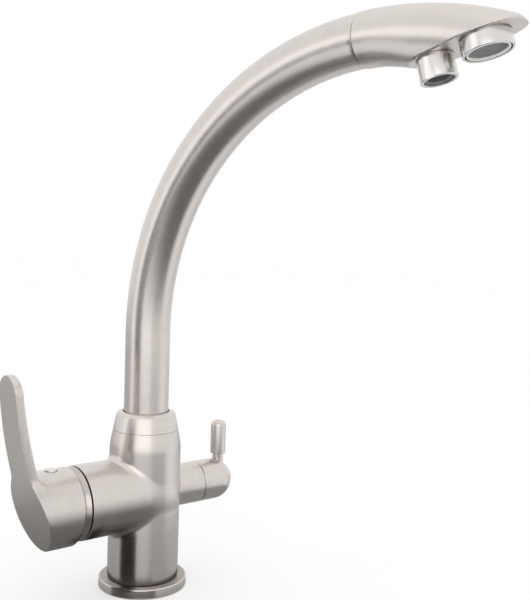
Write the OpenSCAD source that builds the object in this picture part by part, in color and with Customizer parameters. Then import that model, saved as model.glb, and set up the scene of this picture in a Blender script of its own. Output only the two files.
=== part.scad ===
// Kitchen tap with a mixer lever, a separate filter valve and a swivel spout with two outlets.
// Millimetres. The origin is the centre of the base's underside, +Z is up,
// the mixer lever lies towards -X and the filter knob towards +X.

/* [Base] */
// Diameter of the base flange
flange_d = 55.6; // [52:0.2:64]
// Height of the base flange
flange_h = 6.4; // [5:0.2:9]
// Rounding of the flange's top edge
flange_round = 1.0; // [0.4:0.2:2]
// Radial width of the gasket under the flange
gasket_w = 3; // [2:0.5:4]
// Thickness of the gasket
gasket_h = 2; // [1:0.25:3]
// Diameter of the body's spigot inside the flange
spigot_d = 40; // [38:0.5:42]

/* [Inlets] */
// Diameter of a hose inlet, tapped for a fine 10 mm thread
hose_d = 9; // [8:0.5:10]
// Depth of a hose inlet
hose_depth = 12; // [10:0.5:15]
// Distance of the hot and cold inlets from the column's axis, along X
hose_x = 8; // [7:0.5:9]
// Distance of the hot and cold inlets from the column's axis, along Y
hose_y = 9; // [8:0.5:10]
// Distance of the filtered inlet from the column's axis
filter_inlet_x = 13; // [12:0.5:14]
// Diameter of a stud hole, tapped for an 8 mm thread
stud_d = 6.8; // [6:0.2:7]
// Depth of a stud hole
stud_depth = 14; // [10:1:18]
// Distance of the stud holes from the column's axis, along X
stud_x = 3; // [2:0.5:4]
// Distance of the stud holes from the column's axis, along Y
stud_y = 14.5; // [14:0.5:15.5]
// Diameter of the drilled waterways
way_d = 5.6; // [4:0.2:6]

/* [Body] */
// Diameter of the column
column_d = 45; // [44:0.5:50]
// Height at which the column starts to narrow
taper_z = 91.5; // [88:0.5:95]
// Height of the seam between body and collar
seam_z = 101; // [99:0.5:104]
// Height of the axis of both valves
valve_z = 60.6; // [56:0.2:62]

/* [Collar] */
// Height of the collar's top
collar_top_z = 112.6; // [110:0.2:118]
// Diameter of the collar at its top
collar_top_d = 36.4; // [35:0.2:40]
// Rounding of the collar's top edge
collar_round = 2.4; // [1:0.2:2.6]
// Depth to which the collar screws into the body
collar_thread = 7; // [5:0.5:8]
// Chamfer round the tube's hole
collar_chamfer = 1.5; // [0.5:0.25:2]
// Thickness of the lip that holds the upper bush
collar_lip = 4.8; // [3:0.2:6]

/* [Mixer side] */
// Diameter of the barrel
barrel_d = 45.6; // [45:0.2:50]
// Distance of the barrel's rim from the column's axis
barrel_reach = 48.5; // [47.5:0.5:52]
// Diameter of the cartridge
cartridge_d = 35; // [34:0.5:36]
// Depth of the cartridge's seat behind the barrel's rim
seat_depth = 29.5; // [29:0.25:30]
// Depth of the lever's pivot behind the barrel's rim
pivot_depth = 10.5; // [10:0.25:11]
// Radius of the round cap under the lever
dome_r = 25.3; // [24.8:0.1:25.6]
// Thickness of the round cap
dome_t = 1.5; // [1:0.25:2]
// Radius of the round cap's hole for the stem
dome_hole_r = 14; // [13.5:0.25:15]
// Diameter of the cartridge's stem
stem_d = 8; // [7:0.5:9]
// Travel of the lever away from the body, in degrees
lift_angle = 22; // [15:1:24]

/* [Lever] */
// Diameter of the lever's skirt
skirt_d = 47; // [46:0.2:50]
// Drop of the skirt's axis below the barrel's axis
skirt_drop = 0.9; // [0:0.1:1]
// Gap between the barrel's rim and the skirt, on the barrel's axis
skirt_gap = 5.9; // [5.5:0.1:7.5]
// Slant of the skirt's inner end, in degrees
skirt_slant = 3; // [0:0.5:5]
// Distance of the lever's face from the barrel's rim, on the barrel's axis
face_gap = 29.7; // [28:0.1:35]
// Slant of the lever's face, in degrees
face_tilt = 15.9; // [10:0.1:18]
// Height above the barrel's axis at which the face starts to curve
curve_start = 15.4; // [12:0.2:20]
// Radius of the curved blade
blade_r = 300; // [200:10:500]
// Thickness of the blade
blade_t = 5; // [4:0.25:6]
// Width of the blade at its root
blade_root_w = 28.4; // [26:0.2:32]
// Width of the blade at its tip
blade_tip_w = 23; // [20:0.2:26]
// Height of the blade's tip above the barrel's axis
blade_top = 81.4; // [70:0.2:95]
// Depth to which the stem enters the lever's hub, from the hub's face
stem_grip = 9; // [7:0.5:10]
// Diameter of the index plug on the skirt
plug_d = 7.4; // [6:0.2:8]
// Height by which the plug stands above the skirt
plug_proud = 0.9; // [0.4:0.1:1.5]
// Distance of the plug from the barrel's rim
plug_gap = 16.8; // [16:0.1:18]

/* [Filter side] */
// Diameter of the boss and the knob
knob_d = 26.7; // [25:0.1:30]
// Distance of the seam between boss and knob from the column's axis
boss_reach = 39.2; // [38:0.2:42]
// Length of the knob's straight part
knob_straight = 13.8; // [12:0.2:18]
// Distance of the lever pin from the seam
pin_out = 19; // [17:0.2:20]
// Diameter of the lever pin
pin_d = 10.2; // [8:0.2:12]
// Diameter of the lever pin's neck
pin_neck_d = 7.2; // [6:0.2:8]
// Height of the pin's shoulder above the valve's axis
pin_shoulder = 17; // [16:0.2:19]
// Height of the pin's top above the valve's axis
pin_top = 39.4; // [34:0.2:50]
// Rounding of the pin's top
pin_round = 3.4; // [1:0.2:4]
// Diameter of the filter valve's housing
housing_d = 17; // [16.4:0.2:17.4]
// Diameter of the filter valve's stem
filter_stem_d = 8; // [7:0.25:8.5]

/* [Spout] */
// Swing of the spout at rest, from straight ahead towards the knob, in degrees
spout_swing = 11.5; // [-60:0.5:60]
// Outer diameter of the spout tube
tube_d = 28; // [27:0.25:28.5]
// Wall of the spout tube
tube_wall = 1.2; // [1:0.1:1.5]
// Height at which the tube starts to bend
tube_rise = 162.8; // [130:0.2:220]
// Radius of the bend
bend_r = 164; // [140:1:200]
// Angle of the bend, in degrees
bend_angle = 86.4; // [80:0.2:90]
// Diameter of the separate tube for filtered water
inner_tube_d = 8; // [7:0.25:8]
// Wall of the separate tube
inner_tube_wall = 1; // [0.75:0.25:1.25]

/* [Spout joint] */
// Diameter of the socket in the body
socket_d = 35.2; // [34.8:0.1:35.6]
// Height of the socket's floor
socket_z = 76.5; // [76:0.25:78]
// Diameter of the filter port under the socket
port_d = 12; // [11.6:0.1:12.4]
// Thickness of the thrust washer
washer_h = 2; // [1:0.25:2.5]
// Length of the sleeve on the tube's lower end
sleeve_h = 15; // [13:0.5:15.5]
// Section of the sleeve's seals
sleeve_seal_d = 2.4; // [2:0.1:2.6]
// Section of the filter nipple's seals
nipple_seal_d = 1.8; // [1.5:0.1:2]

/* [Spout head] */
// Diameter of the head
head_d = 29; // [28.6:0.1:30]
// Radius of the curve that the head follows
head_r = 190; // [170:1:230]
// Wall of the head
head_wall = 3; // [2.5:0.25:3.5]
// Angle of the outlet face to the tube's end, in degrees
face_angle = 12.4; // [10:0.2:15]
// Distance of the main outlet from the tube's end
main_reach = 65; // [63:0.5:70]
// Depth of the outlet face under the tube's line, at the main outlet
main_drop = 10; // [9:0.2:11]
// Distance between the two outlets
outlet_pitch = 26.7; // [25.5:0.1:28]
// Wall behind the outlet face
face_wall = 3.5; // [3:0.25:4]

/* [Outlets] */
// Diameter of the aerator's housing
main_d = 24.9; // [24:0.1:26]
// Height of the aerator's housing
main_h = 7.7; // [7.5:0.1:10]
// Diameter of the aerator's opening
main_open_d = 22.2; // [21:0.1:22.6]
// Diameter of the aerator's mesh
mesh_d = 19.2; // [17:0.2:19.6]
// Diameter of the filter nozzle's housing
small_d = 18.8; // [18:0.1:20]
// Height of the filter nozzle's housing
small_h = 11.3; // [10:0.1:13]
// Diameter of the filter nozzle's opening
small_open_d = 15.2; // [14:0.1:16]
// Depth of the spanner flats on both housings
flat_depth = 0.4; // [0.2:0.1:0.6]

/* [Hidden] */
$fn = 96;

// Clearances
run_fit = 0.06;
seat_fit = 0.05;
free_gap = 0.3;
seam_gap = 0.15;
lever_gap = 0.55;
overlap = 1;
far = 400;

// Finishes
satin_nickel = "#b9b3ad";
bright_nickel = "#d5d1cc";
brass = "#b08d4c";
steel = "#9c9ea0";
rubber = "#232323";
dark_plastic = "#3c3f42";
white_plastic = "#e6e5e0";
ceramic_grey = "#cfcac2";

// Radii of the outer forms
flange_r = flange_d / 2;
column_r = column_d / 2;
collar_top_r = collar_top_d / 2;
barrel_r = barrel_d / 2;
skirt_r = skirt_d / 2;
knob_r = knob_d / 2;
tube_r = tube_d / 2;
head_sec_r = head_d / 2;
way_r = way_d / 2;
way_step = 0.3;
drill_r = way_r - way_step;

// Base
spigot_r = spigot_d / 2;
gasket_r = (flange_r + spigot_r) / 2;
column_edge = 0.5;

// Taper that body and collar share
function taper_r(z) = column_r + (collar_top_r - column_r) * (z - taper_z) / (collar_top_z - taper_z);

// Spout joint, from the socket's floor upwards
port_floor = 1.6;
collar_wall = 1.3;
sleeve_play = 0.5;
hole_play = 0.7;
seal_shares = [0.25, 0.65];
nipple_play = 0.4;
nipple_lift = 1.5;
nipple_seal_low = 1.7;
nipple_seal_pitch = 2.7;
nipple_plain_h = 6.6;
nipple_socket_h = 6;
socket_r = socket_d / 2;
port_r = port_d / 2;
port_z = valve_z + way_r + port_floor;
collar_thread_r = socket_r + collar_wall;
collar_floor_z = seam_z - collar_thread;
sleeve_r = socket_r - sleeve_play;
sleeve_z = socket_z + washer_h + seat_fit;
sleeve_top_z = sleeve_z + sleeve_h;
bush_z = sleeve_top_z + free_gap;
bush_top_z = collar_top_z - collar_lip - seat_fit;
bush_r = socket_r - free_gap;
washer_in_r = tube_r - tube_wall + free_gap;
collar_hole_r = tube_r + hole_play;
tube_in_r = tube_r - tube_wall;
sleeve_seal_r = sleeve_seal_d / 2;
sleeve_seal_mid = socket_r - run_fit - sleeve_seal_r;
sleeve_seal_zs = [for (share = seal_shares) sleeve_z + sleeve_h * share];
inner_tube_r = inner_tube_d / 2;
nipple_r = port_r - nipple_play;
nipple_seal_r = nipple_seal_d / 2;
nipple_seal_mid = port_r - run_fit - nipple_seal_r;
nipple_z = port_z + nipple_lift;
nipple_seal_zs = [for (step = [0, 1]) nipple_z + nipple_seal_low + step * nipple_seal_pitch];
nipple_socket_z = nipple_z + nipple_plain_h;
nipple_top_z = nipple_socket_z + nipple_socket_h;
nipple_bore_r = inner_tube_r - inner_tube_wall;

// Mixer side, distances from the column's axis along the barrel
base_h = 4;
fixed_h = 3;
moving_h = 3.5;
carrier_h = 4;
turret_over = 3;
case_roof = 2.3;
neck_h = 3.4;
case_wall = 2.5;
disc_play = 0.4;
disc_travel = 3.2;
turret_step = 4;
nut_wall = 1.8;
nut_step = 1.6;
nut_play = 1.5;
nut_sink = 0.2;
nut_collar_h = 3.7;
seat_out = barrel_reach - seat_depth;
pivot_out = barrel_reach - pivot_depth;
cartridge_r = cartridge_d / 2;
cartridge_bore_r = cartridge_r + free_gap;
base_top = seat_out + base_h;
fixed_top = base_top + fixed_h;
moving_top = fixed_top + moving_h;
carrier_top = moving_top + carrier_h;
turret_in = carrier_top + free_gap;
turret_top = pivot_out + turret_over;
case_in_top = turret_top + free_gap;
case_top = case_in_top + case_roof;
neck_top = case_top + neck_h;
case_in_r = cartridge_r - case_wall;
disc_r = case_in_r - disc_play;
moving_r = disc_r - disc_travel;
turret_r = case_in_r - free_gap;
neck_r = turret_r - turret_step;
neck_hole_r = neck_r + free_gap;
nut_thread_r = cartridge_bore_r + nut_wall;
nut_collar_r = nut_thread_r - nut_step;
nut_in_r = neck_hole_r + nut_play;
nut_top = barrel_reach - nut_sink;
nut_collar_top = nut_top + nut_collar_h;
dome_in_r = dome_r - dome_t;
stem_r = stem_d / 2;
slot_w = stem_d + 2 * free_gap;
slot_half = stem_r / cos(lift_angle) + (neck_top - pivot_out) * tan(lift_angle) + free_gap;
pin_pivot_r = 1.5;
ball_r = 2.6;
ball_out = moving_top + ball_r + free_gap;
stem_neck_r = 1.8;
port_y = 8;
port_low = -6;
port_high = 8;
port_seal_w = 1.4;
port_seal_r = way_r + port_seal_w;
port_seal_h = 1.2;
mixed_wall = 1.1;
mixed_x = port_r + way_r + mixed_wall;
chamfer = 0.4;

// Lever
plug_depth = 4;
grub_sink = 1;
skirt_in = barrel_reach + skirt_gap;
face_out = barrel_reach + face_gap;
plug_out = barrel_reach + plug_gap;
hub_r = dome_r + lever_gap;
hub_face = pivot_out + sqrt(hub_r * hub_r - stem_r * stem_r);
stem_end = hub_face + stem_grip;
face_bend_y = face_out + curve_start * tan(face_tilt);
plug_r = plug_d / 2;
plug_seat = skirt_r - skirt_drop - plug_depth;
grub_r = 2.5;
grub_top = plug_seat - grub_sink;

// Filter side, distances from the column's axis along the boss
valve_in = 8;
seat_h = 2;
filter_disc_h = 2.5;
housing_wall = 2;
foot_h = 4;
foot_room = 2;
housing_sink = 2.4;
stem_seal_rise = 5;
clip_lip = 1.6;
clip_sink = 0.6;
inlet_ring_depth = 1.6;
pin_depth = 4;
housing_r = housing_d / 2;
seat_top = valve_in + seat_h;
filter_fixed_top = seat_top + filter_disc_h;
filter_moving_top = filter_fixed_top + filter_disc_h;
disc_seat_r = housing_r - housing_wall;
filter_foot_top = filter_moving_top + foot_h;
housing_neck = filter_foot_top + foot_room;
housing_top = boss_reach - housing_sink;
filter_stem_r = filter_stem_d / 2;
stem_seal_d = 1.6;
stem_seal_mid = filter_stem_r + run_fit - stem_seal_d / 2;
stem_seal_z = housing_neck + stem_seal_rise;
clip_h = 0.8;
clip_z = housing_top + seat_fit;
clip_r = filter_stem_r + clip_lip;
clip_groove_r = filter_stem_r - clip_sink;
inlet_ring_r = housing_r + inlet_ring_depth;
inlet_ring_in = filter_inlet_x - way_r;
inlet_ring_out = filter_inlet_x + way_r;
window_r = 1.5;
knob_in = boss_reach + free_gap;
dome_centre = boss_reach + knob_straight;
pin_at = boss_reach + pin_out;
filter_stem_end = pin_at + filter_stem_r;
pin_thread_r = 2.5;
pin_r = pin_d / 2;
pin_neck_r = pin_neck_d / 2;
pin_seat = knob_r - pin_depth;

// Spout head and outlets
cavity_share = 0.4;
spigot_h = 12;
spigot_wall = 2.6;
thread_step = 1;
thread_extra = 1.5;
bore_step = 1.6;
insert_play = 0.35;
insert_sink = 0.3;
main_seal_h = 1;
small_thread_step = 0.6;
small_bore_step = 2.4;
small_seal_h = 1.5;
small_insert_sink = 1.4;
boss_roof = 1.5;
filter_boss_wall = 1.6;
nozzle_way_step = 0.5;
small_boss_wall = 2;
tube_stop = 1.2;
main_flats_turn = 40;
small_flats_turn = 90;
tube_end_angle = bend_angle - seam_gap / bend_r * 180 / PI;
head_sweep = asin((main_reach + main_d) / head_r);
cavity_sweep = asin((main_reach + main_d * cavity_share) / head_r);
cavity_r = head_sec_r - head_wall;
spigot_angle = spigot_h / bend_r * 180 / PI;
head_spigot_r = tube_in_r - seam_gap;
head_spigot_in_r = head_spigot_r - spigot_wall;
lip_h = 3;
lip_angle = lip_h / bend_r * 180 / PI;
head_seal_d = 1.6;
main_thread_r = main_open_d / 2 - thread_step;
main_thread = face_wall + thread_extra;
main_bore_r = main_thread_r - bore_step;
main_step = 1.6;
insert_r = main_open_d / 2 - insert_play;
mesh_r = mesh_d / 2;
mesh_h = 0.6;
mesh_in = 0.9;
insert_out = main_h - insert_sink;
insert_in = main_step + main_seal_h;
insert_hole_r = 2.2;
insert_hole_out = mesh_r / 2 + 1;
small_thread_r = small_open_d / 2 - small_thread_step;
small_thread = 6.5;
small_bore_r = small_thread_r - small_bore_step;
small_step = 3;
small_insert_r = small_open_d / 2 - seat_fit;
small_insert_in = small_step + small_seal_h;
small_insert_out = small_h - small_insert_sink;
boss_up = small_thread + boss_roof;
filter_boss_r = inner_tube_r + filter_boss_wall;
nozzle_way_r = nipple_bore_r + nozzle_way_step;
small_boss_r = small_thread_r + small_boss_wall;

// Where the filter nozzle's axis meets the line of the filter tube, in the head's own frame
nozzle_drop = main_drop + outlet_pitch * sin(face_angle);
nozzle_reach = main_reach - outlet_pitch * cos(face_angle);
axis_mean = (nozzle_drop - bend_r) * cos(face_angle) + nozzle_reach * sin(face_angle);
axis_rest = pow(nozzle_drop - bend_r, 2) + pow(nozzle_reach, 2) - pow(bend_r, 2);
nozzle_rise = axis_mean + sqrt(axis_mean * axis_mean - axis_rest);
nozzle_sweep = asin((nozzle_reach - nozzle_rise * sin(face_angle)) / bend_r);
tube_stop_sweep = nozzle_sweep - (nipple_bore_r + tube_stop) / bend_r * 180 / PI;
filter_tube_angle = bend_angle + tube_stop_sweep;

// Frames

// Along the barrel: +Z outwards, +X up
module mixer_side() {
    translate([0, 0, valve_z])
        rotate([0, -90, 0])
            children();
}

// Along the boss: +Z outwards, -X up
module filter_side() {
    translate([0, 0, valve_z])
        rotate([0, 90, 0])
            children();
}

// Plane of the spout: +X is the reach
module spout_plane() {
    rotate([0, 0, spout_swing - 90])
        children();
}

// End of a bend of radius r and angle a that starts upwards
module bend_end(r, a) {
    translate([r * (1 - cos(a)), 0, r * sin(a)])
        rotate([0, a, 0])
            children();
}

// Start of the head: +Z along the tube, +X down
module head_frame() {
    spout_plane()
        translate([0, 0, tube_rise])
            bend_end(bend_r, bend_angle)
                children();
}

// Outlet face at the main outlet: +Z out of the outlet, +X back towards the tube
module outlet_frame() {
    head_frame()
        translate([main_drop, 0, main_reach])
            rotate([0, 90 - face_angle, 0])
                children();
}

module nozzle_frame() {
    outlet_frame()
        translate([outlet_pitch, 0, 0])
            children();
}

// Shared shapes

// Cylinder from one height to another
module post(r, z0, z1) {
    translate([0, 0, z0])
        cylinder(r = r, h = z1 - z0);
}

// Ring from one height to another
module band(r_out, r_in, z0, z1) {
    difference() {
        post(r_out, z0, z1);
        post(r_in, z0 - overlap, z1 + overlap);
    }
}

// Seal ring of round section
module o_ring(mid_r, sec_r) {
    rotate_extrude()
        translate([mid_r, 0])
            circle(r = sec_r);
}

// Groove for a seal ring, cut into a cylinder of radius r
module o_groove(mid_r, sec_r, r) {
    band(r + overlap, mid_r - sec_r - seat_fit, -sec_r - seat_fit, sec_r + seat_fit);
}

// Section drawn round a bend of radius r through angle a, upwards first and then towards +X
module bend(r, a) {
    mirror([1, 0, 0])
        translate([-r, 0, 0])
            rotate([90, 0, 0])
                rotate_extrude(angle = a)
                    translate([r, 0])
                        children();
}

// Rod of radius r that rises from z0 and follows the spout's bend through angle a
module gooseneck(r, z0, a) {
    post(r, z0, tube_rise);
    translate([0, 0, tube_rise])
        bend(bend_r, a)
            circle(r = r);
}

// Half profile of a disc with a rounded top edge, for turning
module round_top_profile(r, z0, z1, round_r) {
    translate([0, z0])
        square([r, z1 - z0 - round_r]);
    translate([0, z0])
        square([r - round_r, z1 - z0]);
    translate([r - round_r, z1 - round_r])
        intersection() {
            circle(r = round_r);
            square(round_r);
        }
}

// Two spanner flats on a housing of radius r
module spanner_flats(r, z0, z1, turn) {
    for (side = [0, 180])
        rotate([0, 0, turn + side])
            translate([r - flat_depth, -r, z0])
                cube([r, 2 * r, z1 - z0]);
}

// Base

module base_flange() {
    color(satin_nickel)
        difference() {
            rotate_extrude()
                round_top_profile(flange_r, 0, flange_h, flange_round);
            post(spigot_r + free_gap, -overlap, flange_h + overlap);
            band(gasket_r + gasket_w / 2, gasket_r - gasket_w / 2, -overlap, gasket_h);
        }
}

module base_gasket() {
    color(rubber)
        band(gasket_r + gasket_w / 2, gasket_r - gasket_w / 2, 0, gasket_h);
}

// Body

module body_outside() {
    post(spigot_r, 0, flange_h + overlap);
    translate([0, 0, flange_h])
        cylinder(r1 = column_r - column_edge, r2 = column_r, h = column_edge);
    post(column_r, flange_h + column_edge, taper_z);
    translate([0, 0, taper_z])
        cylinder(r1 = column_r, r2 = taper_r(seam_z), h = seam_z - taper_z);
    mixer_side() {
        sphere(r = barrel_r);
        post(barrel_r, 0, barrel_reach - chamfer);
        translate([0, 0, barrel_reach - chamfer])
            cylinder(r1 = barrel_r, r2 = barrel_r - chamfer, h = chamfer);
    }
    filter_side() {
        post(knob_r, 0, boss_reach - chamfer);
        translate([0, 0, boss_reach - chamfer])
            cylinder(r1 = knob_r, r2 = knob_r - chamfer, h = chamfer);
    }
}

module inlet_holes() {
    for (side = [-1, 1]) {
        translate([-hose_x, side * hose_y, 0])
            post(hose_d / 2, -overlap, hose_depth);
        translate([-hose_x, side * port_y, 0])
            post(drill_r, 0, valve_z + port_low);
        translate([stud_x, side * stud_y, 0])
            post(stud_d / 2, -overlap, stud_depth);
    }
    translate([filter_inlet_x, 0, 0]) {
        post(hose_d / 2, -overlap, hose_depth);
        post(drill_r, 0, valve_z - housing_r);
    }
}

module mixer_holes() {
    post(cartridge_bore_r, seat_out, barrel_reach + overlap);
    post(nut_thread_r + seat_fit, case_top - free_gap, barrel_reach + overlap);
    for (side = [-1, 1])
        translate([port_low, side * port_y, 0])
            post(way_r, hose_x - way_r, seat_out + overlap);
    translate([port_high, 0, 0])
        post(way_r, mixed_x - way_r, seat_out + overlap);
}

module filter_holes() {
    post(housing_r + seat_fit, valve_in, boss_reach + overlap);
    band(inlet_ring_r, housing_r - overlap, inlet_ring_in, inlet_ring_out);
    post(way_r, -way_r, valve_in + overlap);
}

module spout_holes() {
    post(socket_r, socket_z, seam_z + overlap);
    post(collar_thread_r + seat_fit, collar_floor_z, seam_z + overlap);
    post(port_r, port_z, socket_z + overlap);
    post(drill_r, valve_z, port_z + overlap);
    translate([-mixed_x, 0, 0])
        post(drill_r, valve_z + port_high, socket_z + overlap);
}

module tap_body() {
    color(satin_nickel)
        difference() {
            body_outside();
            inlet_holes();
            mixer_side()
                mixer_holes();
            filter_side()
                filter_holes();
            spout_holes();
        }
}

// Spout joint

module collar_profile() {
    difference() {
        union() {
            polygon([
                [0, seam_z],
                [taper_r(seam_z), seam_z],
                [taper_r(collar_top_z - collar_round), collar_top_z - collar_round],
                [0, collar_top_z - collar_round]]);
            translate([taper_r(collar_top_z - collar_round) - collar_round, collar_top_z - collar_round])
                intersection() {
                    circle(r = collar_round);
                    translate([-collar_round, 0])
                        square([2 * collar_round, collar_round]);
                }
            translate([0, collar_top_z - collar_round])
                square([taper_r(collar_top_z - collar_round) - collar_round, collar_round]);
            translate([0, collar_floor_z + free_gap])
                square([collar_thread_r, collar_thread - free_gap + overlap]);
        }
        translate([0, collar_floor_z - overlap])
            square([bush_r + seat_fit, collar_top_z - collar_lip - collar_floor_z + overlap]);
        square([collar_hole_r, far]);
        polygon([
            [0, collar_top_z - collar_chamfer],
            [collar_hole_r, collar_top_z - collar_chamfer],
            [collar_hole_r + collar_chamfer + overlap, collar_top_z + overlap],
            [0, collar_top_z + overlap]]);
    }
}

module spout_collar() {
    color(satin_nickel)
        rotate_extrude()
            collar_profile();
}

module thrust_washer() {
    color(white_plastic)
        band(sleeve_r, washer_in_r, socket_z, socket_z + washer_h);
}

module upper_bush() {
    color(white_plastic)
        band(bush_r, tube_r + run_fit, bush_z, bush_top_z);
}

module spout_tube() {
    color(satin_nickel)
        spout_plane()
            difference() {
                gooseneck(tube_r, sleeve_z, tube_end_angle);
                gooseneck(tube_in_r, sleeve_z - overlap, tube_end_angle + overlap);
            }
}

module spout_sleeve() {
    color(brass)
        difference() {
            band(sleeve_r, tube_r + seat_fit, sleeve_z, sleeve_top_z);
            for (z = sleeve_seal_zs)
                translate([0, 0, z])
                    o_groove(sleeve_seal_mid, sleeve_seal_r, sleeve_r);
        }
}

module sleeve_seals() {
    color(rubber)
        for (z = sleeve_seal_zs)
            translate([0, 0, z])
                o_ring(sleeve_seal_mid, sleeve_seal_r);
}

module filter_nipple() {
    color(brass)
        difference() {
            post(nipple_r, nipple_z, nipple_top_z);
            post(nipple_bore_r, nipple_z - overlap, nipple_top_z);
            post(inner_tube_r + seat_fit, nipple_socket_z, nipple_top_z + overlap);
            for (z = nipple_seal_zs)
                translate([0, 0, z])
                    o_groove(nipple_seal_mid, nipple_seal_r, nipple_r);
        }
}

module nipple_seals() {
    color(rubber)
        for (z = nipple_seal_zs)
            translate([0, 0, z])
                o_ring(nipple_seal_mid, nipple_seal_r);
}

module filter_tube() {
    color(white_plastic)
        spout_plane()
            difference() {
                gooseneck(inner_tube_r, nipple_socket_z, filter_tube_angle);
                gooseneck(nipple_bore_r, nipple_socket_z - overlap, filter_tube_angle + overlap);
            }
}

// Cartridge

module cartridge_base() {
    color(dark_plastic)
        mixer_side()
            difference() {
                post(cartridge_r, seat_out, base_top);
                cartridge_ports(way_r, seat_out - overlap, base_top + overlap);
                cartridge_ports(port_seal_r, seat_out - overlap, seat_out + port_seal_h);
            }
}

// The two inlet ports and the outlet port of the cartridge
module cartridge_ports(r, z0, z1) {
    for (side = [-1, 1])
        translate([port_low, side * port_y, 0])
            post(r, z0, z1);
    translate([port_high, 0, 0])
        post(r, z0, z1);
}

module cartridge_seals() {
    color(rubber)
        mixer_side()
            difference() {
                cartridge_ports(port_seal_r, seat_out, seat_out + port_seal_h);
                cartridge_ports(way_r, seat_out - overlap, base_top);
            }
}

module fixed_disc() {
    color(ceramic_grey)
        mixer_side()
            difference() {
                post(disc_r, base_top, fixed_top);
                cartridge_ports(way_r, base_top - overlap, fixed_top + overlap);
            }
}

module cartridge_case() {
    color(dark_plastic)
        mixer_side()
            difference() {
                post(cartridge_r, base_top, case_top);
                post(case_in_r, base_top - overlap, case_in_top);
                post(neck_hole_r, base_top, case_top + overlap);
            }
}

module cartridge_nut() {
    color(brass)
        mixer_side()
            difference() {
                union() {
                    post(nut_thread_r, case_top, nut_top);
                    post(nut_collar_r, case_top, nut_collar_top);
                }
                post(nut_in_r, case_top - overlap, nut_collar_top + overlap);
            }
}

module dome_cap() {
    color(bright_nickel)
        mixer_side()
            difference() {
                union() {
                    difference() {
                        translate([0, 0, pivot_out])
                            sphere(r = dome_r);
                        translate([0, 0, pivot_out])
                            sphere(r = dome_in_r);
                    }
                    post(nut_collar_r + dome_t, barrel_reach + seam_gap, nut_collar_top);
                }
                post(far, -far, barrel_reach + seam_gap);
                post(nut_collar_r + seat_fit, barrel_reach - overlap, nut_collar_top + seat_fit);
                post(dome_hole_r, barrel_reach, far);
            }
}

module cartridge_turret() {
    color(white_plastic)
        mixer_side()
            difference() {
                union() {
                    post(turret_r, turret_in, turret_top);
                    post(neck_r, turret_in, neck_top);
                }
                translate([-slot_half, -slot_w / 2, turret_in - overlap])
                    cube([2 * slot_half, slot_w, neck_top - turret_in + 2 * overlap]);
                stem_pin_shape(pin_pivot_r + seat_fit, overlap);
            }
}

// Pivot pin across the turret
module stem_pin_shape(r, extra) {
    translate([0, 0, pivot_out])
        rotate([90, 0, 0])
            cylinder(r = r, h = 2 * (neck_r - free_gap + extra), center = true);
}

module stem_pin() {
    color(steel)
        mixer_side()
            stem_pin_shape(pin_pivot_r, 0);
}

module moving_disc() {
    color(ceramic_grey)
        mixer_side()
            difference() {
                post(moving_r, fixed_top + seat_fit, moving_top);
                translate([-moving_r / 2, 0, 0])
                    post(way_r, fixed_top, moving_top - overlap);
            }
}

module disc_carrier() {
    color(dark_plastic)
        mixer_side()
            difference() {
                post(moving_r, moving_top, carrier_top);
                post(ball_r + free_gap, moving_top - overlap, carrier_top + overlap);
            }
}

module cartridge_stem() {
    color(steel)
        mixer_side()
            difference() {
                union() {
                    translate([0, 0, ball_out])
                        sphere(r = ball_r);
                    post(stem_neck_r, ball_out, pivot_out);
                    translate([0, 0, pivot_out])
                        sphere(r = stem_r);
                    post(stem_r, pivot_out, stem_end);
                }
                translate([0, 0, pivot_out])
                    rotate([90, 0, 0])
                        cylinder(r = pin_pivot_r + run_fit, h = 2 * stem_d, center = true);
            }
}

// Lever

// Area behind the lever's face, seen from the side: X up, Y outwards
module behind_face(inset) {
    translate([curve_start, face_bend_y])
        rotate(face_tilt) {
            translate([-far, -far - inset])
                square(far);
            intersection() {
                translate([0, -blade_r])
                    circle(r = blade_r - inset, $fn = 360);
                translate([0, -far])
                    square(far);
            }
        }
}

// A side view turned to stand across the lever
module across(w) {
    rotate([90, 0, 0])
        linear_extrude(height = w, center = true)
            children();
}

// Outline of the blade, seen from its face: X up
module blade_outline() {
    tip = blade_top - blade_tip_w / 2;
    polygon([
        [0, -blade_root_w / 2],
        [curve_start, -blade_root_w / 2],
        [tip, -blade_tip_w / 2],
        [tip, blade_tip_w / 2],
        [curve_start, blade_root_w / 2],
        [0, blade_root_w / 2]]);
    translate([tip, 0])
        circle(d = blade_tip_w);
}

module lever_blade() {
    intersection() {
        across(2 * blade_root_w)
            difference() {
                behind_face(0);
                behind_face(blade_t);
            }
        linear_extrude(height = far)
            blade_outline();
    }
}

module lever_skirt() {
    intersection() {
        translate([-skirt_drop, 0, 0])
            post(skirt_r, pivot_out, far);
        across(2 * skirt_d)
            behind_face(0);
        translate([0, 0, skirt_in])
            rotate([0, skirt_slant, 0])
                post(far, 0, far);
    }
}

module mixer_lever() {
    color(satin_nickel)
        mixer_side()
            difference() {
                union() {
                    lever_skirt();
                    lever_blade();
                }
                translate([0, 0, pivot_out])
                    sphere(r = hub_r);
                post(stem_r + seat_fit, pivot_out, stem_end + seat_fit);
                translate([0, 0, plug_out])
                    rotate([0, 90, 0]) {
                        post(grub_r + seat_fit, 0, skirt_r);
                        post(plug_r + seat_fit, plug_seat, skirt_r + overlap);
                    }
            }
}

module grub_screw() {
    color(steel)
        mixer_side()
            translate([0, 0, plug_out])
                rotate([0, 90, 0])
                    difference() {
                        post(grub_r, stem_r + seat_fit, grub_top);
                        translate([0, 0, grub_top - grub_r])
                            cylinder(d = grub_r, h = grub_r + overlap, $fn = 6);
                    }
}

module index_plug() {
    color(bright_nickel)
        mixer_side()
            translate([0, 0, plug_out])
                rotate([0, 90, 0])
                    rotate_extrude()
                        round_top_profile(plug_r, plug_seat, skirt_r - skirt_drop + plug_proud, plug_proud);
}

// Filter valve

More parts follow.
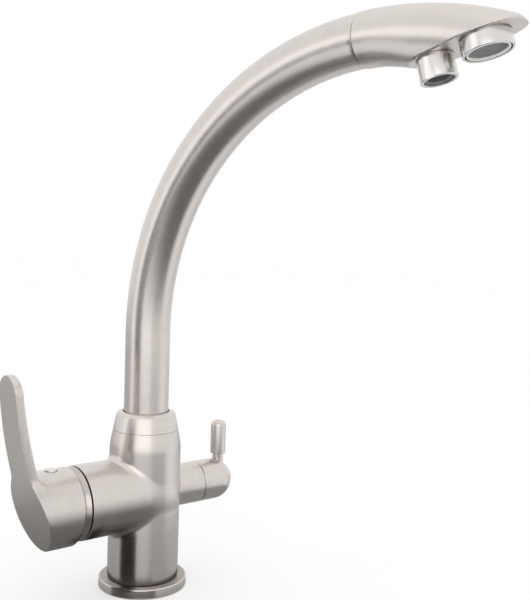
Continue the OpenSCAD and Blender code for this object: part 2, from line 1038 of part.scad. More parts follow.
module filter_housing() {
    color(brass)
        filter_side()
            difference() {
                post(housing_r, valve_in + seat_fit, housing_top);
                post(disc_seat_r, valve_in, housing_neck);
                post(filter_stem_r + run_fit, housing_neck - overlap, housing_top + overlap);
                translate([0, 0, filter_moving_top - window_r])
                    for (turn = [0, 90])
                        rotate([90, 0, turn])
                            cylinder(r = window_r, h = 2 * inlet_ring_r, center = true);
            }
}

module filter_seat() {
    color(rubber)
        filter_side()
            band(disc_seat_r - seat_fit, way_r, valve_in + seat_fit, seat_top);
}

module filter_fixed_disc() {
    color(ceramic_grey)
        filter_side()
            difference() {
                post(disc_seat_r - seat_fit, seat_top, filter_fixed_top);
                translate([0, disc_seat_r / 2, 0])
                    post(way_r / 2, seat_top - overlap, filter_fixed_top + overlap);
            }
}

module filter_moving_disc() {
    color(ceramic_grey)
        filter_side()
            difference() {
                post(disc_seat_r - free_gap, filter_fixed_top + seat_fit, filter_moving_top);
                translate([disc_seat_r / 2, 0, 0])
                    post(way_r / 2, filter_fixed_top, filter_moving_top + overlap);
            }
}

module filter_stem() {
    color(brass)
        filter_side()
            difference() {
                union() {
                    post(disc_seat_r - free_gap, filter_moving_top, filter_foot_top);
                    post(filter_stem_r, filter_moving_top, filter_stem_end);
                }
                translate([0, 0, stem_seal_z])
                    o_groove(stem_seal_mid, stem_seal_d / 2, filter_stem_r);
                band(filter_stem_r + overlap, clip_groove_r, clip_z - seat_fit, clip_z + clip_h + seat_fit);
            }
}

module filter_stem_seal() {
    color(rubber)
        filter_side()
            translate([0, 0, stem_seal_z])
                o_ring(stem_seal_mid - run_fit / 2, stem_seal_d / 2);
}

module filter_clip() {
    color(steel)
        filter_side()
            band(clip_r, clip_groove_r + run_fit, clip_z, clip_z + clip_h);
}

module filter_knob() {
    color(satin_nickel)
        filter_side()
            difference() {
                union() {
                    translate([0, 0, knob_in])
                        cylinder(r1 = knob_r - chamfer, r2 = knob_r, h = chamfer);
                    post(knob_r, knob_in + chamfer, dome_centre);
                    intersection() {
                        translate([0, 0, dome_centre])
                            sphere(r = knob_r);
                        post(knob_r + overlap, dome_centre - overlap, far);
                    }
                }
                post(filter_stem_r + seat_fit, knob_in - overlap, filter_stem_end + seat_fit);
                translate([0, 0, pin_at])
                    rotate([0, -90, 0]) {
                        post(pin_thread_r + seat_fit, 0, knob_r);
                        post(pin_neck_r + seat_fit, pin_seat, knob_r + overlap);
                    }
            }
}

module pin_profile() {
    translate([0, filter_stem_r + seat_fit])
        square([pin_thread_r, pin_shoulder - filter_stem_r]);
    translate([0, pin_seat])
        square([pin_neck_r, pin_shoulder - pin_seat + overlap]);
    polygon([
        [0, pin_shoulder],
        [pin_r - chamfer, pin_shoulder],
        [pin_r, pin_shoulder + chamfer],
        [0, pin_shoulder + chamfer]]);
    round_top_profile(pin_r, pin_shoulder + chamfer, pin_top, pin_round);
}

module filter_pin() {
    color(satin_nickel)
        filter_side()
            translate([0, 0, pin_at])
                rotate([0, -90, 0])
                    rotate_extrude()
                        pin_profile();
}

// Spout head

module below_face(depth) {
    outlet_frame()
        translate([-far, -far, -depth])
            cube([2 * far, 2 * far, far]);
}

module head_outside() {
    difference() {
        union() {
            head_frame()
                bend(head_r, head_sweep)
                    circle(r = head_sec_r);
            nozzle_frame()
                post(small_boss_r, -boss_up, 0);
        }
        below_face(0);
    }
    head_spigot(head_spigot_r, 0);
}

// Rod along the tube's bend, from the head's lip to the free end of its spigot
module head_spigot(r, extra) {
    spout_plane()
        translate([0, 0, tube_rise])
            bend_end(bend_r, bend_angle - spigot_angle - extra)
                bend(bend_r, spigot_angle + lip_angle + 2 * extra)
                    circle(r = r);
}

module head_cavity() {
    head_spigot(head_spigot_in_r, lip_angle / 2);
    difference() {
        head_frame()
            difference() {
                bend(head_r, cavity_sweep)
                    circle(r = cavity_r);
                post(head_d, -overlap, lip_h);
            }
        below_face(face_wall);
        nozzle_frame() {
            post(small_boss_r, -boss_up, 0);
            post(filter_boss_r, -nozzle_rise - filter_boss_r, 0);
        }
    }
}

module head_holes() {
    outlet_frame()
        post(main_thread_r + seat_fit, -main_thread - seat_fit, overlap);
    nozzle_frame() {
        post(small_thread_r + seat_fit, -small_thread - seat_fit, overlap);
        post(nozzle_way_r, -nozzle_rise - nozzle_way_r, 0);
    }
    head_frame() {
        bend(bend_r, nozzle_sweep)
            circle(r = nipple_bore_r);
        bend(bend_r, tube_stop_sweep)
            circle(r = inner_tube_r + seat_fit);
    }
    head_seal_place()
        o_groove(head_spigot_r - head_seal_d / 2, head_seal_d / 2, head_spigot_r);
}

// Middle of the head's spigot in the tube
module head_seal_place() {
    spout_plane()
        translate([0, 0, tube_rise])
            bend_end(bend_r, bend_angle - spigot_angle / 2)
                children();
}

module spout_head() {
    color(satin_nickel)
        difference() {
            head_outside();
            head_cavity();
            head_holes();
        }
}

module head_seal() {
    color(rubber)
        head_seal_place()
            o_ring(head_spigot_r - head_seal_d / 2, head_seal_d / 2);
}

// Outlets

module aerator_housing() {
    color(bright_nickel)
        outlet_frame()
            difference() {
                union() {
                    post(main_thread_r, -main_thread, overlap);
                    rotate_extrude()
                        round_top_profile(main_d / 2, 0, main_h, chamfer);
                }
                post(main_bore_r, -main_thread - overlap, main_h);
                post(main_open_d / 2, main_step, main_h + overlap);
                spanner_flats(main_d / 2, main_h / 2, main_h + overlap, main_flats_turn);
            }
}

module aerator_seal() {
    color(rubber)
        outlet_frame()
            band(insert_r, main_bore_r, main_step, insert_in);
}

module aerator_insert() {
    color(white_plastic)
        outlet_frame()
            difference() {
                post(insert_r, insert_in, insert_out);
                post(mesh_r + seat_fit, insert_out - mesh_in - mesh_h, insert_out + overlap);
                for (turn = [0 : 60 : 300])
                    rotate([0, 0, turn])
                        translate([insert_hole_out, 0, 0])
                            post(insert_hole_r, insert_in - overlap, insert_out);
            }
}

module aerator_mesh() {
    hole_r = 0.8;
    pitch = 2.3;
    rows = 3;
    color(steel)
        outlet_frame()
            difference() {
                post(mesh_r, insert_out - mesh_in - mesh_h, insert_out - mesh_in);
                for (row = [-rows : rows])
                    for (step = [0 : 2 * rows - abs(row)])
                        translate([
                            (step - rows + abs(row) / 2) * pitch,
                            row * pitch * sin(60),
                            0])
                            post(hole_r, 0, insert_out);
            }
}

module nozzle_housing() {
    color(bright_nickel)
        nozzle_frame()
            difference() {
                union() {
                    post(small_thread_r, -small_thread, overlap);
                    rotate_extrude()
                        round_top_profile(small_d / 2, 0, small_h, chamfer);
                }
                post(small_bore_r, -small_thread - overlap, small_h);
                post(small_open_d / 2, small_step, small_h + overlap);
                spanner_flats(small_d / 2, small_h / 2, small_h + overlap, small_flats_turn);
            }
}

module nozzle_seal() {
    color(rubber)
        nozzle_frame()
            band(small_insert_r, small_bore_r, small_step, small_insert_in);
}

module nozzle_insert() {
    rib = 1.2;
    wall = 2;
    core_r = small_insert_r - wall;
    color(dark_plastic)
        nozzle_frame() {
            difference() {
                post(small_insert_r, small_insert_in, small_insert_out);
                post(core_r, small_insert_in + rib, small_insert_out + overlap);
                for (turn = [0 : 45 : 315])
                    rotate([0, 0, turn])
                        translate([core_r / 2, 0, 0])
                            post(rib / 2, small_insert_in - overlap, small_insert_out);
            }
            for (turn = [0, 60, 120])
                rotate([0, 0, turn])
                    translate([-core_r - overlap / 2, -rib / 2, small_insert_in + rib / 2])
                        cube([2 * core_r + overlap, rib, rib]);
        }
}

tap_body();
base_flange();
base_gasket();
spout_collar();
thrust_washer();
upper_bush();
cartridge_base();
cartridge_seals();
fixed_disc();
cartridge_case();
cartridge_nut();
dome_cap();
cartridge_turret();
stem_pin();
moving_disc();
disc_carrier();
cartridge_stem();
mixer_lever();
grub_screw();
index_plug();
filter_housing();
filter_seat();
filter_fixed_disc();
filter_clip();
filter_moving_disc();
filter_stem();
filter_stem_seal();
filter_knob();
filter_pin();
spout_tube();
spout_sleeve();
sleeve_seals();
filter_tube();
filter_nipple();
nipple_seals();
spout_head();
head_seal();
aerator_housing();
aerator_seal();
aerator_insert();
aerator_mesh();
nozzle_housing();
nozzle_seal();
nozzle_insert();
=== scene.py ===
import math

import bmesh
import bpy
import numpy as np
from mathutils import Matrix, Vector


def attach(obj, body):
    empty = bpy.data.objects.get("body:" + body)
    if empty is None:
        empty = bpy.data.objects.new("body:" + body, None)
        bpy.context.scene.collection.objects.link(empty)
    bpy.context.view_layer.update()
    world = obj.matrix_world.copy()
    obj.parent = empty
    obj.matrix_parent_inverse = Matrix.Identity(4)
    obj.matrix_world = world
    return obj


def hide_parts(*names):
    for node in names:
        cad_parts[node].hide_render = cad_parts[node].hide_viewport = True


bl_info = {
    "name": "Three-way kitchen tap",
    "version": (1, 0, 0),
    "blender": (4, 5, 0),
    "location": "3D View > Sidebar > Tap",
    "description": "Models and finishes a kitchen tap with a mixer lever, a filter knob and a swivel spout",
    "category": "Object",
}

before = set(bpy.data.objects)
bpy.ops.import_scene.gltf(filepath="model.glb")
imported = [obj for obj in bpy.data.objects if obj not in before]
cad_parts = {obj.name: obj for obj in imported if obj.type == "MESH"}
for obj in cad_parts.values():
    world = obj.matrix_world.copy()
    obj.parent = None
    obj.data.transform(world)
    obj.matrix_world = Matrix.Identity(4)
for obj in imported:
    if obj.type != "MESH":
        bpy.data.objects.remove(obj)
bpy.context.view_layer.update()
MM = 0.001
WHITE = (1, 1, 1, 1)

# Steps of a full turn, for large pieces, for tubes and for small pieces
TURNS = 128
TUBE_TURNS = 96
FINE_TURNS = 64

# Metres below which two points are one, and below which a point lies on a cut
SAME_POINT = 0.000001
ON_PLANE = 0.0000001

# Gap that keeps two seated faces from lying in each other
SEAT_GAP = 0.02 * MM

# Places of the inlets and stud holes in the underside, and their depths
HOSE_PLACES = [(-8 * MM, 9 * MM), (-8 * MM, -9 * MM), (13 * MM, 0)]
STUD_PLACES = [(3 * MM, 14.5 * MM), (3 * MM, -14.5 * MM)]
HOSE_DEPTH = 12 * MM
STUD_DEPTH = 14 * MM

# Nodes that keep their solid's own shape, by finish
KEPT_NODES = {
    "brass": ["cartridge_nut", "spout_sleeve", "filter_nipple", "filter_housing", "filter_stem"],
    "steel": ["stem_pin", "cartridge_stem", "grub_screw", "filter_clip"],
    "rubber": ["base_gasket", "cartridge_seals", "filter_seat", "filter_stem_seal", "sleeve_seals",
               "nipple_seals", "head_seal", "aerator_seal", "nozzle_seal"],
    "dark_plastic": ["cartridge_base", "cartridge_case", "disc_carrier"],
    "grey_plastic": ["nozzle_insert"],
    "white_plastic": ["thrust_washer", "upper_bush", "cartridge_turret", "filter_tube"],
    "ceramic": ["fixed_disc", "moving_disc", "filter_fixed_disc", "filter_moving_disc"],
}
ROUGHNESS = {"rubber": 0.62, "dark_plastic": 0.42, "grey_plastic": 0.42, "white_plastic": 0.34,
             "ceramic": 0.22}


# Sizes and colours that a user would change

def length(name, description, millimetres):
    return bpy.props.FloatProperty(
        name=name, description=description, default=millimetres * MM, min=0.0, precision=4, unit="LENGTH")


def angle(name, description, degrees):
    return bpy.props.FloatProperty(
        name=name, description=description, default=math.radians(degrees), unit="ROTATION")


def share(name, description, value):
    return bpy.props.FloatProperty(
        name=name, description=description, default=value, min=0.0, max=1.0, subtype="FACTOR")


def colour(name, description, value):
    return bpy.props.FloatVectorProperty(
        name=name, description=description, default=value, size=3, min=0.0, max=1.0, subtype="COLOR")


class TapBodySizes(bpy.types.PropertyGroup):
    valve_height: length("Valve height", "Height of the axis of both valves", 60.6)
    column_radius: length("Column radius", "Radius of the upright column", 22.5)
    foot_height: length("Foot height", "Height at which the column's full width starts", 6.9)
    taper_start: length("Taper start", "Height at which the column starts to narrow", 91.5)
    seam_height: length("Seam height", "Height of the seam between body and collar", 101)
    collar_top: length("Collar top", "Height of the collar's top", 112.6)
    collar_top_radius: length("Collar top radius", "Radius of the collar at its top", 18.2)
    collar_hole: length("Collar hole", "Radius of the collar's hole for the spout tube", 14.7)
    barrel_radius: length("Barrel radius", "Radius of the barrel on the mixer side", 22.8)
    barrel_reach: length("Barrel reach", "Distance of the barrel's rim from the column's axis", 48.5)
    barrel_fillet: length("Barrel fillet", "Rounding where barrel and column meet", 3.6)
    front_fillet: length("Front fillet", "Rounding where barrel and column run into each other in front", 2)
    boss_radius: length("Boss radius", "Radius of the boss and the knob on the filter side", 13.35)
    boss_reach: length("Boss reach", "Distance of the boss's rim from the column's axis", 39.2)
    boss_fillet: length("Boss fillet", "Rounding where boss and column meet", 1.2)
    edge: length("Edge", "Chamfer of the rims", 0.4)
    flange_radius: length("Flange radius", "Radius of the base flange", 27.8)
    flange_height: length("Flange height", "Height of the base flange", 6.4)
    spigot_radius: length("Spigot radius", "Radius of the body's spigot inside the flange", 20)
    hose_radius: length("Hose inlet radius", "Radius of a hose inlet in the underside", 4.5)
    stud_radius: length("Stud hole radius", "Radius of a stud hole in the underside", 3.4)


class TapLeverSizes(bpy.types.PropertyGroup):
    pivot: length("Pivot", "Distance of the lever's pivot from the column's axis", 38)
    dome_radius: length("Cap radius", "Radius of the round cap under the lever", 25.3)
    dome_wall: length("Cap wall", "Thickness of the round cap", 1.5)
    dome_hole: length("Cap hole", "Radius of the round cap's hole for the stem", 14)
    hub_radius: length("Hub radius", "Radius of the hollow that clears the round cap", 25.85)
    skirt_radius: length("Skirt radius", "Radius of the lever's skirt", 23.5)
    skirt_drop: length("Skirt drop", "Drop of the skirt's axis below the barrel's axis", 0.9)
    skirt_in: length("Skirt end", "Distance of the skirt's inner end from the column's axis", 54.4)
    skirt_slant: angle("Skirt slant", "Slant of the skirt's inner end", 3)
    face_out: length("Face", "Distance of the lever's face from the column's axis", 78.2)
    face_tilt: angle("Face tilt", "Slant of the lever's face", 15.9)
    curve_start: length("Curve start", "Height above the barrel's axis where the face starts to curve", 15.4)
    blade_curve: length("Blade curve", "Radius of the curved blade", 300)
    blade_thickness: length("Blade thickness", "Thickness of the blade", 5)
    blade_root: length("Blade root", "Half the blade's width at its root", 14.2)
    blade_tip: length("Blade tip", "Half the blade's width at its tip", 11.5)
    blade_top: length("Blade top", "Height of the blade's tip above the barrel's axis", 81.4)
    blade_fillet: length("Blade fillet", "Rounding where the blade's back meets the skirt", 7)
    face_edge: length("Face edge", "Rounding of the edges of the lever's face", 0.6)
    plug_radius: length("Plug radius", "Radius of the index plug", 3.7)
    plug_out: length("Plug place", "Distance of the index plug from the column's axis", 65.3)
    plug_seat: length("Plug seat", "Height of the plug's seat above the barrel's axis", 18.6)
    plug_top: length("Plug top", "Height of the plug's top above the barrel's axis", 23.5)
    plug_gap: length("Plug gap", "Gap round the index plug", 0.3)


class TapFilterSizes(bpy.types.PropertyGroup):
    knob_in: length("Knob start", "Distance of the knob's start from the column's axis", 39.5)
    knob_centre: length("Knob round", "Distance of the centre of the knob's round end", 53)
    pin_out: length("Pin place", "Distance of the pin from the column's axis", 58.2)
    pin_radius: length("Pin radius", "Radius of the pin", 5.1)
    pin_neck: length("Pin neck", "Radius of the pin's neck", 3.6)
    pin_shoulder: length("Pin shoulder", "Height of the pin's shoulder above the valve's axis", 17)
    pin_top: length("Pin top", "Height of the pin's top above the valve's axis", 39.4)
    pin_round: length("Pin rounding", "Rounding of the pin's top", 3.4)


class TapSpoutSizes(bpy.types.PropertyGroup):
    swing: angle("Swing", "Swing of the spout at rest, from straight ahead towards the knob", 11.5)
    tube_radius: length("Tube radius", "Outer radius of the spout tube", 14)
    tube_wall: length("Tube wall", "Wall of the spout tube", 1.2)
    tube_foot: length("Tube foot", "Height of the tube's lower end", 78.55)
    rise: length("Rise", "Height at which the tube starts to bend", 162.8)
    bend_radius: length("Bend radius", "Radius of the bend", 164)
    bend_angle: angle("Bend angle", "Angle of the bend", 86.4)
    seam: length("Seam", "Gap between tube and head", 0.3)
    seam_edge: length("Seam edge", "Rounding of the edges at the seam", 0.35)
    head_radius: length("Head radius", "Radius of the head's section", 14.5)
    head_curve: length("Head curve", "Radius of the curve that the head follows", 190)
    head_chin: length("Head chin", "Depth by which the head swells down towards the outlets", 2)
    head_flank: bpy.props.FloatProperty(
        name="Head flank", description="2 for round flanks, more for fuller ones", default=2.4, min=2.0)
    head_end: length("Head end", "Distance of the head's blunt tip from the tube's end", 86)
    head_edge: length("Head edge", "Rounding of the edge of the outlet face", 0.5)
    face_angle: angle("Face angle", "Angle of the outlet face to the tube's end", 12.4)
    main_reach: length("Main reach", "Distance of the main outlet from the tube's end", 65)
    main_drop: length("Main drop", "Depth of the outlet face under the tube's line", 10)
    outlet_pitch: length("Outlet pitch", "Distance between the two outlets", 26.7)
    main_radius: length("Aerator radius", "Radius of the aerator's housing", 12.45)
    main_height: length("Aerator height", "Height of the aerator's housing", 7.7)
    main_opening: length("Aerator opening", "Radius of the aerator's opening", 11.1)
    mesh_radius: length("Mesh radius", "Radius of the aerator's mesh", 9.6)
    mesh_pitch: length("Mesh pitch", "Distance between the mesh's wires", 0.8)
    small_radius: length("Nozzle radius", "Radius of the filter nozzle's housing", 9.4)
    small_height: length("Nozzle height", "Height of the filter nozzle's housing", 11.3)
    small_opening: length("Nozzle opening", "Radius of the filter nozzle's opening", 7.6)
    small_boss: length("Nozzle boss", "Radius of the boss that carries the filter nozzle", 9)
    flat_depth: length("Flat depth", "Depth of the spanner flats on both housings", 0.4)


class TapFinishes(bpy.types.PropertyGroup):
    nickel: colour("Satin nickel", "Colour of the brushed outside", (0.675, 0.63, 0.60))
    nickel_roughness: share("Satin roughness", "Roughness of the brushed outside", 0.29)
    # The lever face's colour is darker than the satin nickel, partly the matt face's own tone and partly
    # painted shade.
    face: colour("Lever face", "Colour of the lever's matt face", (0.59, 0.557, 0.527))
    face_roughness: share("Face roughness", "Roughness of the lever's matt face", 0.42)
    # The round cap's colour is the satin nickel made darker, as painted shade on the cap.
    cap: colour("Round cap", "Colour of the round cap under the lever", (0.54, 0.504, 0.48))
    cap_roughness: share("Cap roughness", "Roughness of the round cap", 0.2)
    bright: colour("Bright nickel", "Colour of the polished pieces", (0.72, 0.70, 0.68))
    bright_roughness: share("Bright roughness", "Roughness of the polished pieces", 0.22)
    brass: colour("Brass", "Colour of the machined brass inside", (0.62, 0.45, 0.20))
    steel: colour("Steel", "Colour of the plain steel inside", (0.62, 0.63, 0.64))
    rubber: colour("Rubber", "Colour of the seals", (0.022, 0.022, 0.023))
    dark_plastic: colour("Dark plastic", "Colour of the moulded dark parts", (0.05, 0.052, 0.056))
    grey_plastic: colour("Grey plastic", "Colour of the nozzle's insert", (0.13, 0.13, 0.14))
    white_plastic: colour("White plastic", "Colour of the moulded white parts", (0.78, 0.77, 0.74))
    ceramic: colour("Ceramic", "Colour of the lapped discs", (0.60, 0.56, 0.51))


class TapStage(bpy.types.PropertyGroup):
    camera_place: bpy.props.FloatVectorProperty(
        name="Camera place", description="Where the camera stands",
        default=(-0.299846, -0.468833, 0.222493), size=3, unit="LENGTH", subtype="TRANSLATION")
    camera_turn: angle("Camera turn", "Turn of the camera about the vertical", 40.173)
    camera_dip: angle("Camera dip", "Angle of the camera below the horizon", 3.861)
    camera_roll: angle("Camera roll", "Roll of the camera", 1.847)
    camera_lens: bpy.props.FloatProperty(
        name="Lens", description="Focal length of the camera in millimetres", default=52.587, min=1.0)
    floor: colour("Floor", "Colour of the floor", (0.9, 0.9, 0.9))
    floor_glow: share("Floor glow", "Share of the floor's white that needs no light", 0.5)
    daylight: bpy.props.FloatProperty(
        name="Soft light", description="Strength of the light from all round", default=1.1, min=0.0)


# Frames that the pieces are built in

def mixer_frame(scene):
    """Along the barrel: +Z outwards, +X up."""
    return Matrix.Translation((0, 0, scene.tap_body.valve_height)) @ Matrix.Rotation(-math.pi / 2, 4, "Y")


def filter_frame(scene):
    """Along the boss: +Z outwards, -X up."""
    return Matrix.Translation((0, 0, scene.tap_body.valve_height)) @ Matrix.Rotation(math.pi / 2, 4, "Y")


def plug_frame(scene):
    """Up from the barrel's axis through the index plug."""
    place = Matrix.Translation((0, 0, scene.tap_lever.plug_out)) @ Matrix.Rotation(math.pi / 2, 4, "Y")
    return mixer_frame(scene) @ place


def pin_frame(scene):
    """Up from the boss's axis through the filter pin."""
    place = Matrix.Translation((0, 0, scene.tap_filter.pin_out)) @ Matrix.Rotation(-math.pi / 2, 4, "Y")
    return filter_frame(scene) @ place


def spout_frame(scene):
    """Plane of the spout: +X is its reach."""
    return Matrix.Rotation(scene.tap_spout.swing - math.pi / 2, 4, "Z")


def bend_place(scene, turn):
    """A place on the spout's bend: +Z along the tube, +X down."""
    spout = scene.tap_spout
    reach = spout.bend_radius * (1 - math.cos(turn))
    rise = spout.rise + spout.bend_radius * math.sin(turn)
    return spout_frame(scene) @ Matrix.Translation((reach, 0, rise)) @ Matrix.Rotation(turn, 4, "Y")


def outlet_in_head(scene):
    """Outlet face in the head's frame: +Z out of the outlet, +X back towards the tube."""
    spout = scene.tap_spout
    place = Matrix.Translation((spout.main_drop, 0, spout.main_reach))
    return place @ Matrix.Rotation(math.pi / 2 - spout.face_angle, 4, "Y")


def outlet_frame(scene):
    """Face of the main outlet."""
    return bend_place(scene, scene.tap_spout.bend_angle) @ outlet_in_head(scene)


def nozzle_frame(scene):
    """Face of the filter outlet."""
    return outlet_frame(scene) @ Matrix.Translation((scene.tap_spout.outlet_pitch, 0, 0))


# Finishes

class Signal:
    """A value in a finish's node tree, for sums written in Python."""

    def __init__(self, paint, socket):
        self.paint = paint
        self.socket = socket

    def maths(self, operation, *values):
        return self.paint.add("ShaderNodeMath", {"operation": operation}, dict(enumerate(values)))

    def __add__(self, other):
        return self.maths("ADD", self, other)

    __radd__ = __add__

    def __sub__(self, other):
        return self.maths("SUBTRACT", self, other)

    def __rsub__(self, other):
        return self.maths("SUBTRACT", other, self)

    def __mul__(self, other):
        return self.maths("MULTIPLY", self, other)

    __rmul__ = __mul__

    def __truediv__(self, other):
        return self.maths("DIVIDE", self, other)

    def __rtruediv__(self, other):
        return self.maths("DIVIDE", other, self)

    def clamp(self):
        """Held between 0 and 1."""
        return self.maths("MINIMUM", self.maths("MAXIMUM", self, 0.0), 1.0)

    def contrast(self, factor):
        """Pulled away from the middle grey."""
        return ((self - 0.5) * factor + 0.5).clamp()


class Paint:
    """A material or a world, built from nodes."""

    def __init__(self, name, store="materials"):
        self.made = getattr(bpy.data, store).new(name)
        self.made.use_nodes = True
        self.tree = self.made.node_tree
        self.tree.nodes.clear()

    def add(self, kind, settings, sockets, output=0):
        """Adds a node, sets it up, fills its sockets with values or links, and gives one output."""
        node = self.tree.nodes.new(kind)
        for name, value in settings.items():
            setattr(node, name, value)
        for name, value in sockets.items():
            if isinstance(value, Signal):
                self.tree.links.new(value.socket, node.inputs[name])
            else:
                node.inputs[name].default_value = value
        return None if output is None else Signal(self, node.outputs[output])

    def surface(self, shader, output="ShaderNodeOutputMaterial"):
        """Ends the tree with its output, and gives the material or world."""
        self.add(output, {}, {"Surface": shader}, None)
        return self.made

    def place(self, stretch):
        """Object coordinates, drawn out by a factor for each axis."""
        where = self.add("ShaderNodeTexCoord", {}, {}, "Object")
        return self.add("ShaderNodeMapping", {}, {"Vector": where, "Scale": stretch})

    def noise(self, stretch, detail, roughness=0.5):
        """A pattern drawn out by three factors, or by one that holds for all axes."""
        place = self.place(stretch if isinstance(stretch, tuple) else (stretch,) * 3)
        sockets = {"Vector": place, "Scale": 1.0, "Detail": detail, "Roughness": roughness}
        return self.add("ShaderNodeTexNoise", {}, sockets)

    def blend(self, factor, first, second):
        """Mix of two colours."""
        settings = {"data_type": "RGBA", "clamp_factor": True}
        return self.add("ShaderNodeMix", settings, {0: factor, 6: first, 7: second}, 2)

    def bump(self, height, strength, depth):
        return self.add("ShaderNodeBump", {}, {"Height": height, "Strength": strength, "Distance": depth})

    def metal(self, tint, roughness, normal):
        sockets = {"Base Color": tint, "Metallic": 1.0, "Roughness": roughness, "Normal": normal}
        return self.surface(self.add("ShaderNodeBsdfPrincipled", {}, sockets))

    def plastic(self, tint, roughness, normal):
        sockets = {"Base Color": tint, "Roughness": roughness, "Normal": normal}
        return self.surface(self.add("ShaderNodeBsdfPrincipled", {}, sockets))

    def glow(self, strength, tint=WHITE):
        return self.add("ShaderNodeEmission", {}, {"Color": tint, "Strength": strength})

    def mixed(self, factor, first, second):
        """Mix of two shaders."""
        return self.add("ShaderNodeMixShader", {}, {0: factor, 1: first, 2: second})


def shade(value, factor):
    """A colour made lighter or darker, ready for a socket."""
    return tuple(min(1.0, channel * factor) for channel in value) + (1.0,)


def drawn_out(axis, round_axis, along_axis):
    """Stretch of a pattern whose lines run round the given axis."""
    stretch = [round_axis] * 3
    stretch["XYZ".index(axis)] = along_axis
    return tuple(stretch)


def brushed(paint, axis, contrast=1.5):
    """Fine lines round an axis, as a brush leaves them on turned work."""
    fine = paint.noise(drawn_out(axis, 70.0, 5200.0), detail=3.0, roughness=0.65)
    coarse = paint.noise(drawn_out(axis, 25.0, 900.0), detail=3.0, roughness=0.6)
    return (fine * 0.5 + coarse * 0.5).contrast(contrast)


def satin_from_lines(paint, lines, finishes, tint=None, roughness=None):
    """Brushed nickel: the lines change colour, roughness and relief a little."""
    tint = finishes.nickel if tint is None else tint
    roughness = finishes.nickel_roughness if roughness is None else roughness
    cloud = paint.noise(45.0, detail=3.0)
    wear = (lines * 0.7 + cloud * 0.3).clamp()
    skin = paint.blend(wear, shade(tint, 0.84), shade(tint, 1.16))
    grain = roughness - 0.05 + lines * 0.07 + cloud * 0.03
    return paint.metal(skin, grain, paint.bump(lines, strength=0.2, depth=0.06 * MM))


def satin(name, finishes, axis, contrast=1.5):
    """Brushed nickel on a turned piece."""
    paint = Paint(name)
    return satin_from_lines(paint, brushed(paint, axis, contrast), finishes)


def satin_body(name, finishes, body):
    """The body's brushing runs round the column, and round the valves' axis on barrel and boss."""
    paint = Paint(name)
    where = paint.add("ShaderNodeTexCoord", {}, {}, "Object")
    out = paint.add("ShaderNodeSeparateXYZ", {}, {"Vector": where}, 0)
    change = 2 * MM
    side = ((out.maths("ABSOLUTE", out) - body.column_radius) / change).clamp()
    lines = brushed(paint, "X") * side + brushed(paint, "Z") * (1 - side)
    return satin_from_lines(paint, lines, finishes)


def satin_tube(name, finishes):
    """The tube's brushing runs round its own bent line, which the piece keeps as an attribute."""
    paint = Paint(name)
    along = paint.add("ShaderNodeAttribute", {"attribute_name": "along"}, {}, "Fac")
    fine = paint.add("ShaderNodeTexNoise", {"noise_dimensions": "1D"},
                     {"W": along * 3200.0, "Scale": 1.0, "Detail": 3.0})
    broken = paint.noise(160.0, detail=4.0)
    return satin_from_lines(paint, (fine * 0.6 + broken * 0.4).contrast(1.5), finishes)


def satin_lever(name, finishes):
    """The lever's skirt is brushed, and its face is matt and darker, partly its own tone and partly painted
    shade.
    """
    paint = Paint(name)
    face = paint.add("ShaderNodeAttribute", {"attribute_name": "face"}, {}, "Fac")
    lines = brushed(paint, "X")
    matt = paint.noise((2600.0, 2600.0, 500.0), detail=3.0, roughness=0.6)
    cloud = paint.noise(45.0, detail=3.0)
    skirt_tint = paint.blend(lines, shade(finishes.nickel, 0.91), shade(finishes.nickel, 1.09))
    # The face's darker colour is partly painted shade.
    face_tint = paint.blend(matt * 0.6 + cloud * 0.4, shade(finishes.face, 0.9), shade(finishes.face, 1.1))
    tint = paint.blend(face, skirt_tint, face_tint)
    skirt_grain = finishes.nickel_roughness - 0.04 + lines * 0.08
    face_grain = finishes.face_roughness - 0.04 + matt * 0.08
    grain = skirt_grain * (1 - face) + face_grain * face
    height = lines * (1 - face) + matt * face
    return paint.metal(tint, grain, paint.bump(height, strength=0.1, depth=0.06 * MM))


def satin_cap(name, finishes):
    """The round cap is smoother than the pieces beside it, and darker as painted shade."""
    paint = Paint(name)
    lines = brushed(paint, "X", contrast=0.6)
    return satin_from_lines(paint, lines, finishes, finishes.cap, finishes.cap_roughness)


def bright_nickel(name, finishes):
    """Polished nickel with faint rubbing marks."""
    paint = Paint(name)
    cloud = paint.noise(120.0, detail=4.0)
    rub = paint.noise((900.0, 900.0, 4000.0), detail=2.0)
    tint = paint.blend(cloud, shade(finishes.bright, 0.94), shade(finishes.bright, 1.05))
    grain = finishes.bright_roughness - 0.04 + rub * 0.05 + cloud * 0.04
    return paint.metal(tint, grain, paint.bump(rub, strength=0.04, depth=0.04 * MM))


def machined(name, tint):
    """Turned brass or steel with the marks of the tool."""
    paint = Paint(name)
    marks = paint.noise(2400.0, detail=3.0)
    cloud = paint.noise(150.0, detail=3.0)
    skin = paint.blend(cloud * 0.6 + marks * 0.4, shade(tint, 0.86), shade(tint, 1.12))
    return paint.metal(skin, 0.24 + marks * 0.14, paint.bump(marks, strength=0.12, depth=0.08 * MM))


def moulded(name, tint, roughness):
    """Moulded plastic, rubber or ceramic with a fine skin."""
    paint = Paint(name)
    skin = paint.noise(1500.0, detail=3.0)
    cloud = paint.noise(130.0, detail=3.0)
    mix = paint.blend(cloud * 0.7 + skin * 0.3, shade(tint, 0.9), shade(tint, 1.08))
    grain = roughness - 0.06 + skin * 0.12
    return paint.plastic(mix, grain, paint.bump(skin, strength=0.2, depth=0.05 * MM))


def finish_for(kind, finishes):
    """Material for the nodes that keep their solid's shape."""
    tint = getattr(finishes, kind)
    if kind in ("brass", "steel"):
        return machined(kind, tint)
    return moulded(kind, tint, ROUGHNESS[kind])


# Shapes

def of_kind(items, kind):
    """The vertices, the edges or the faces among what an operator gives."""
    return [item for item in items if isinstance(item, kind)]


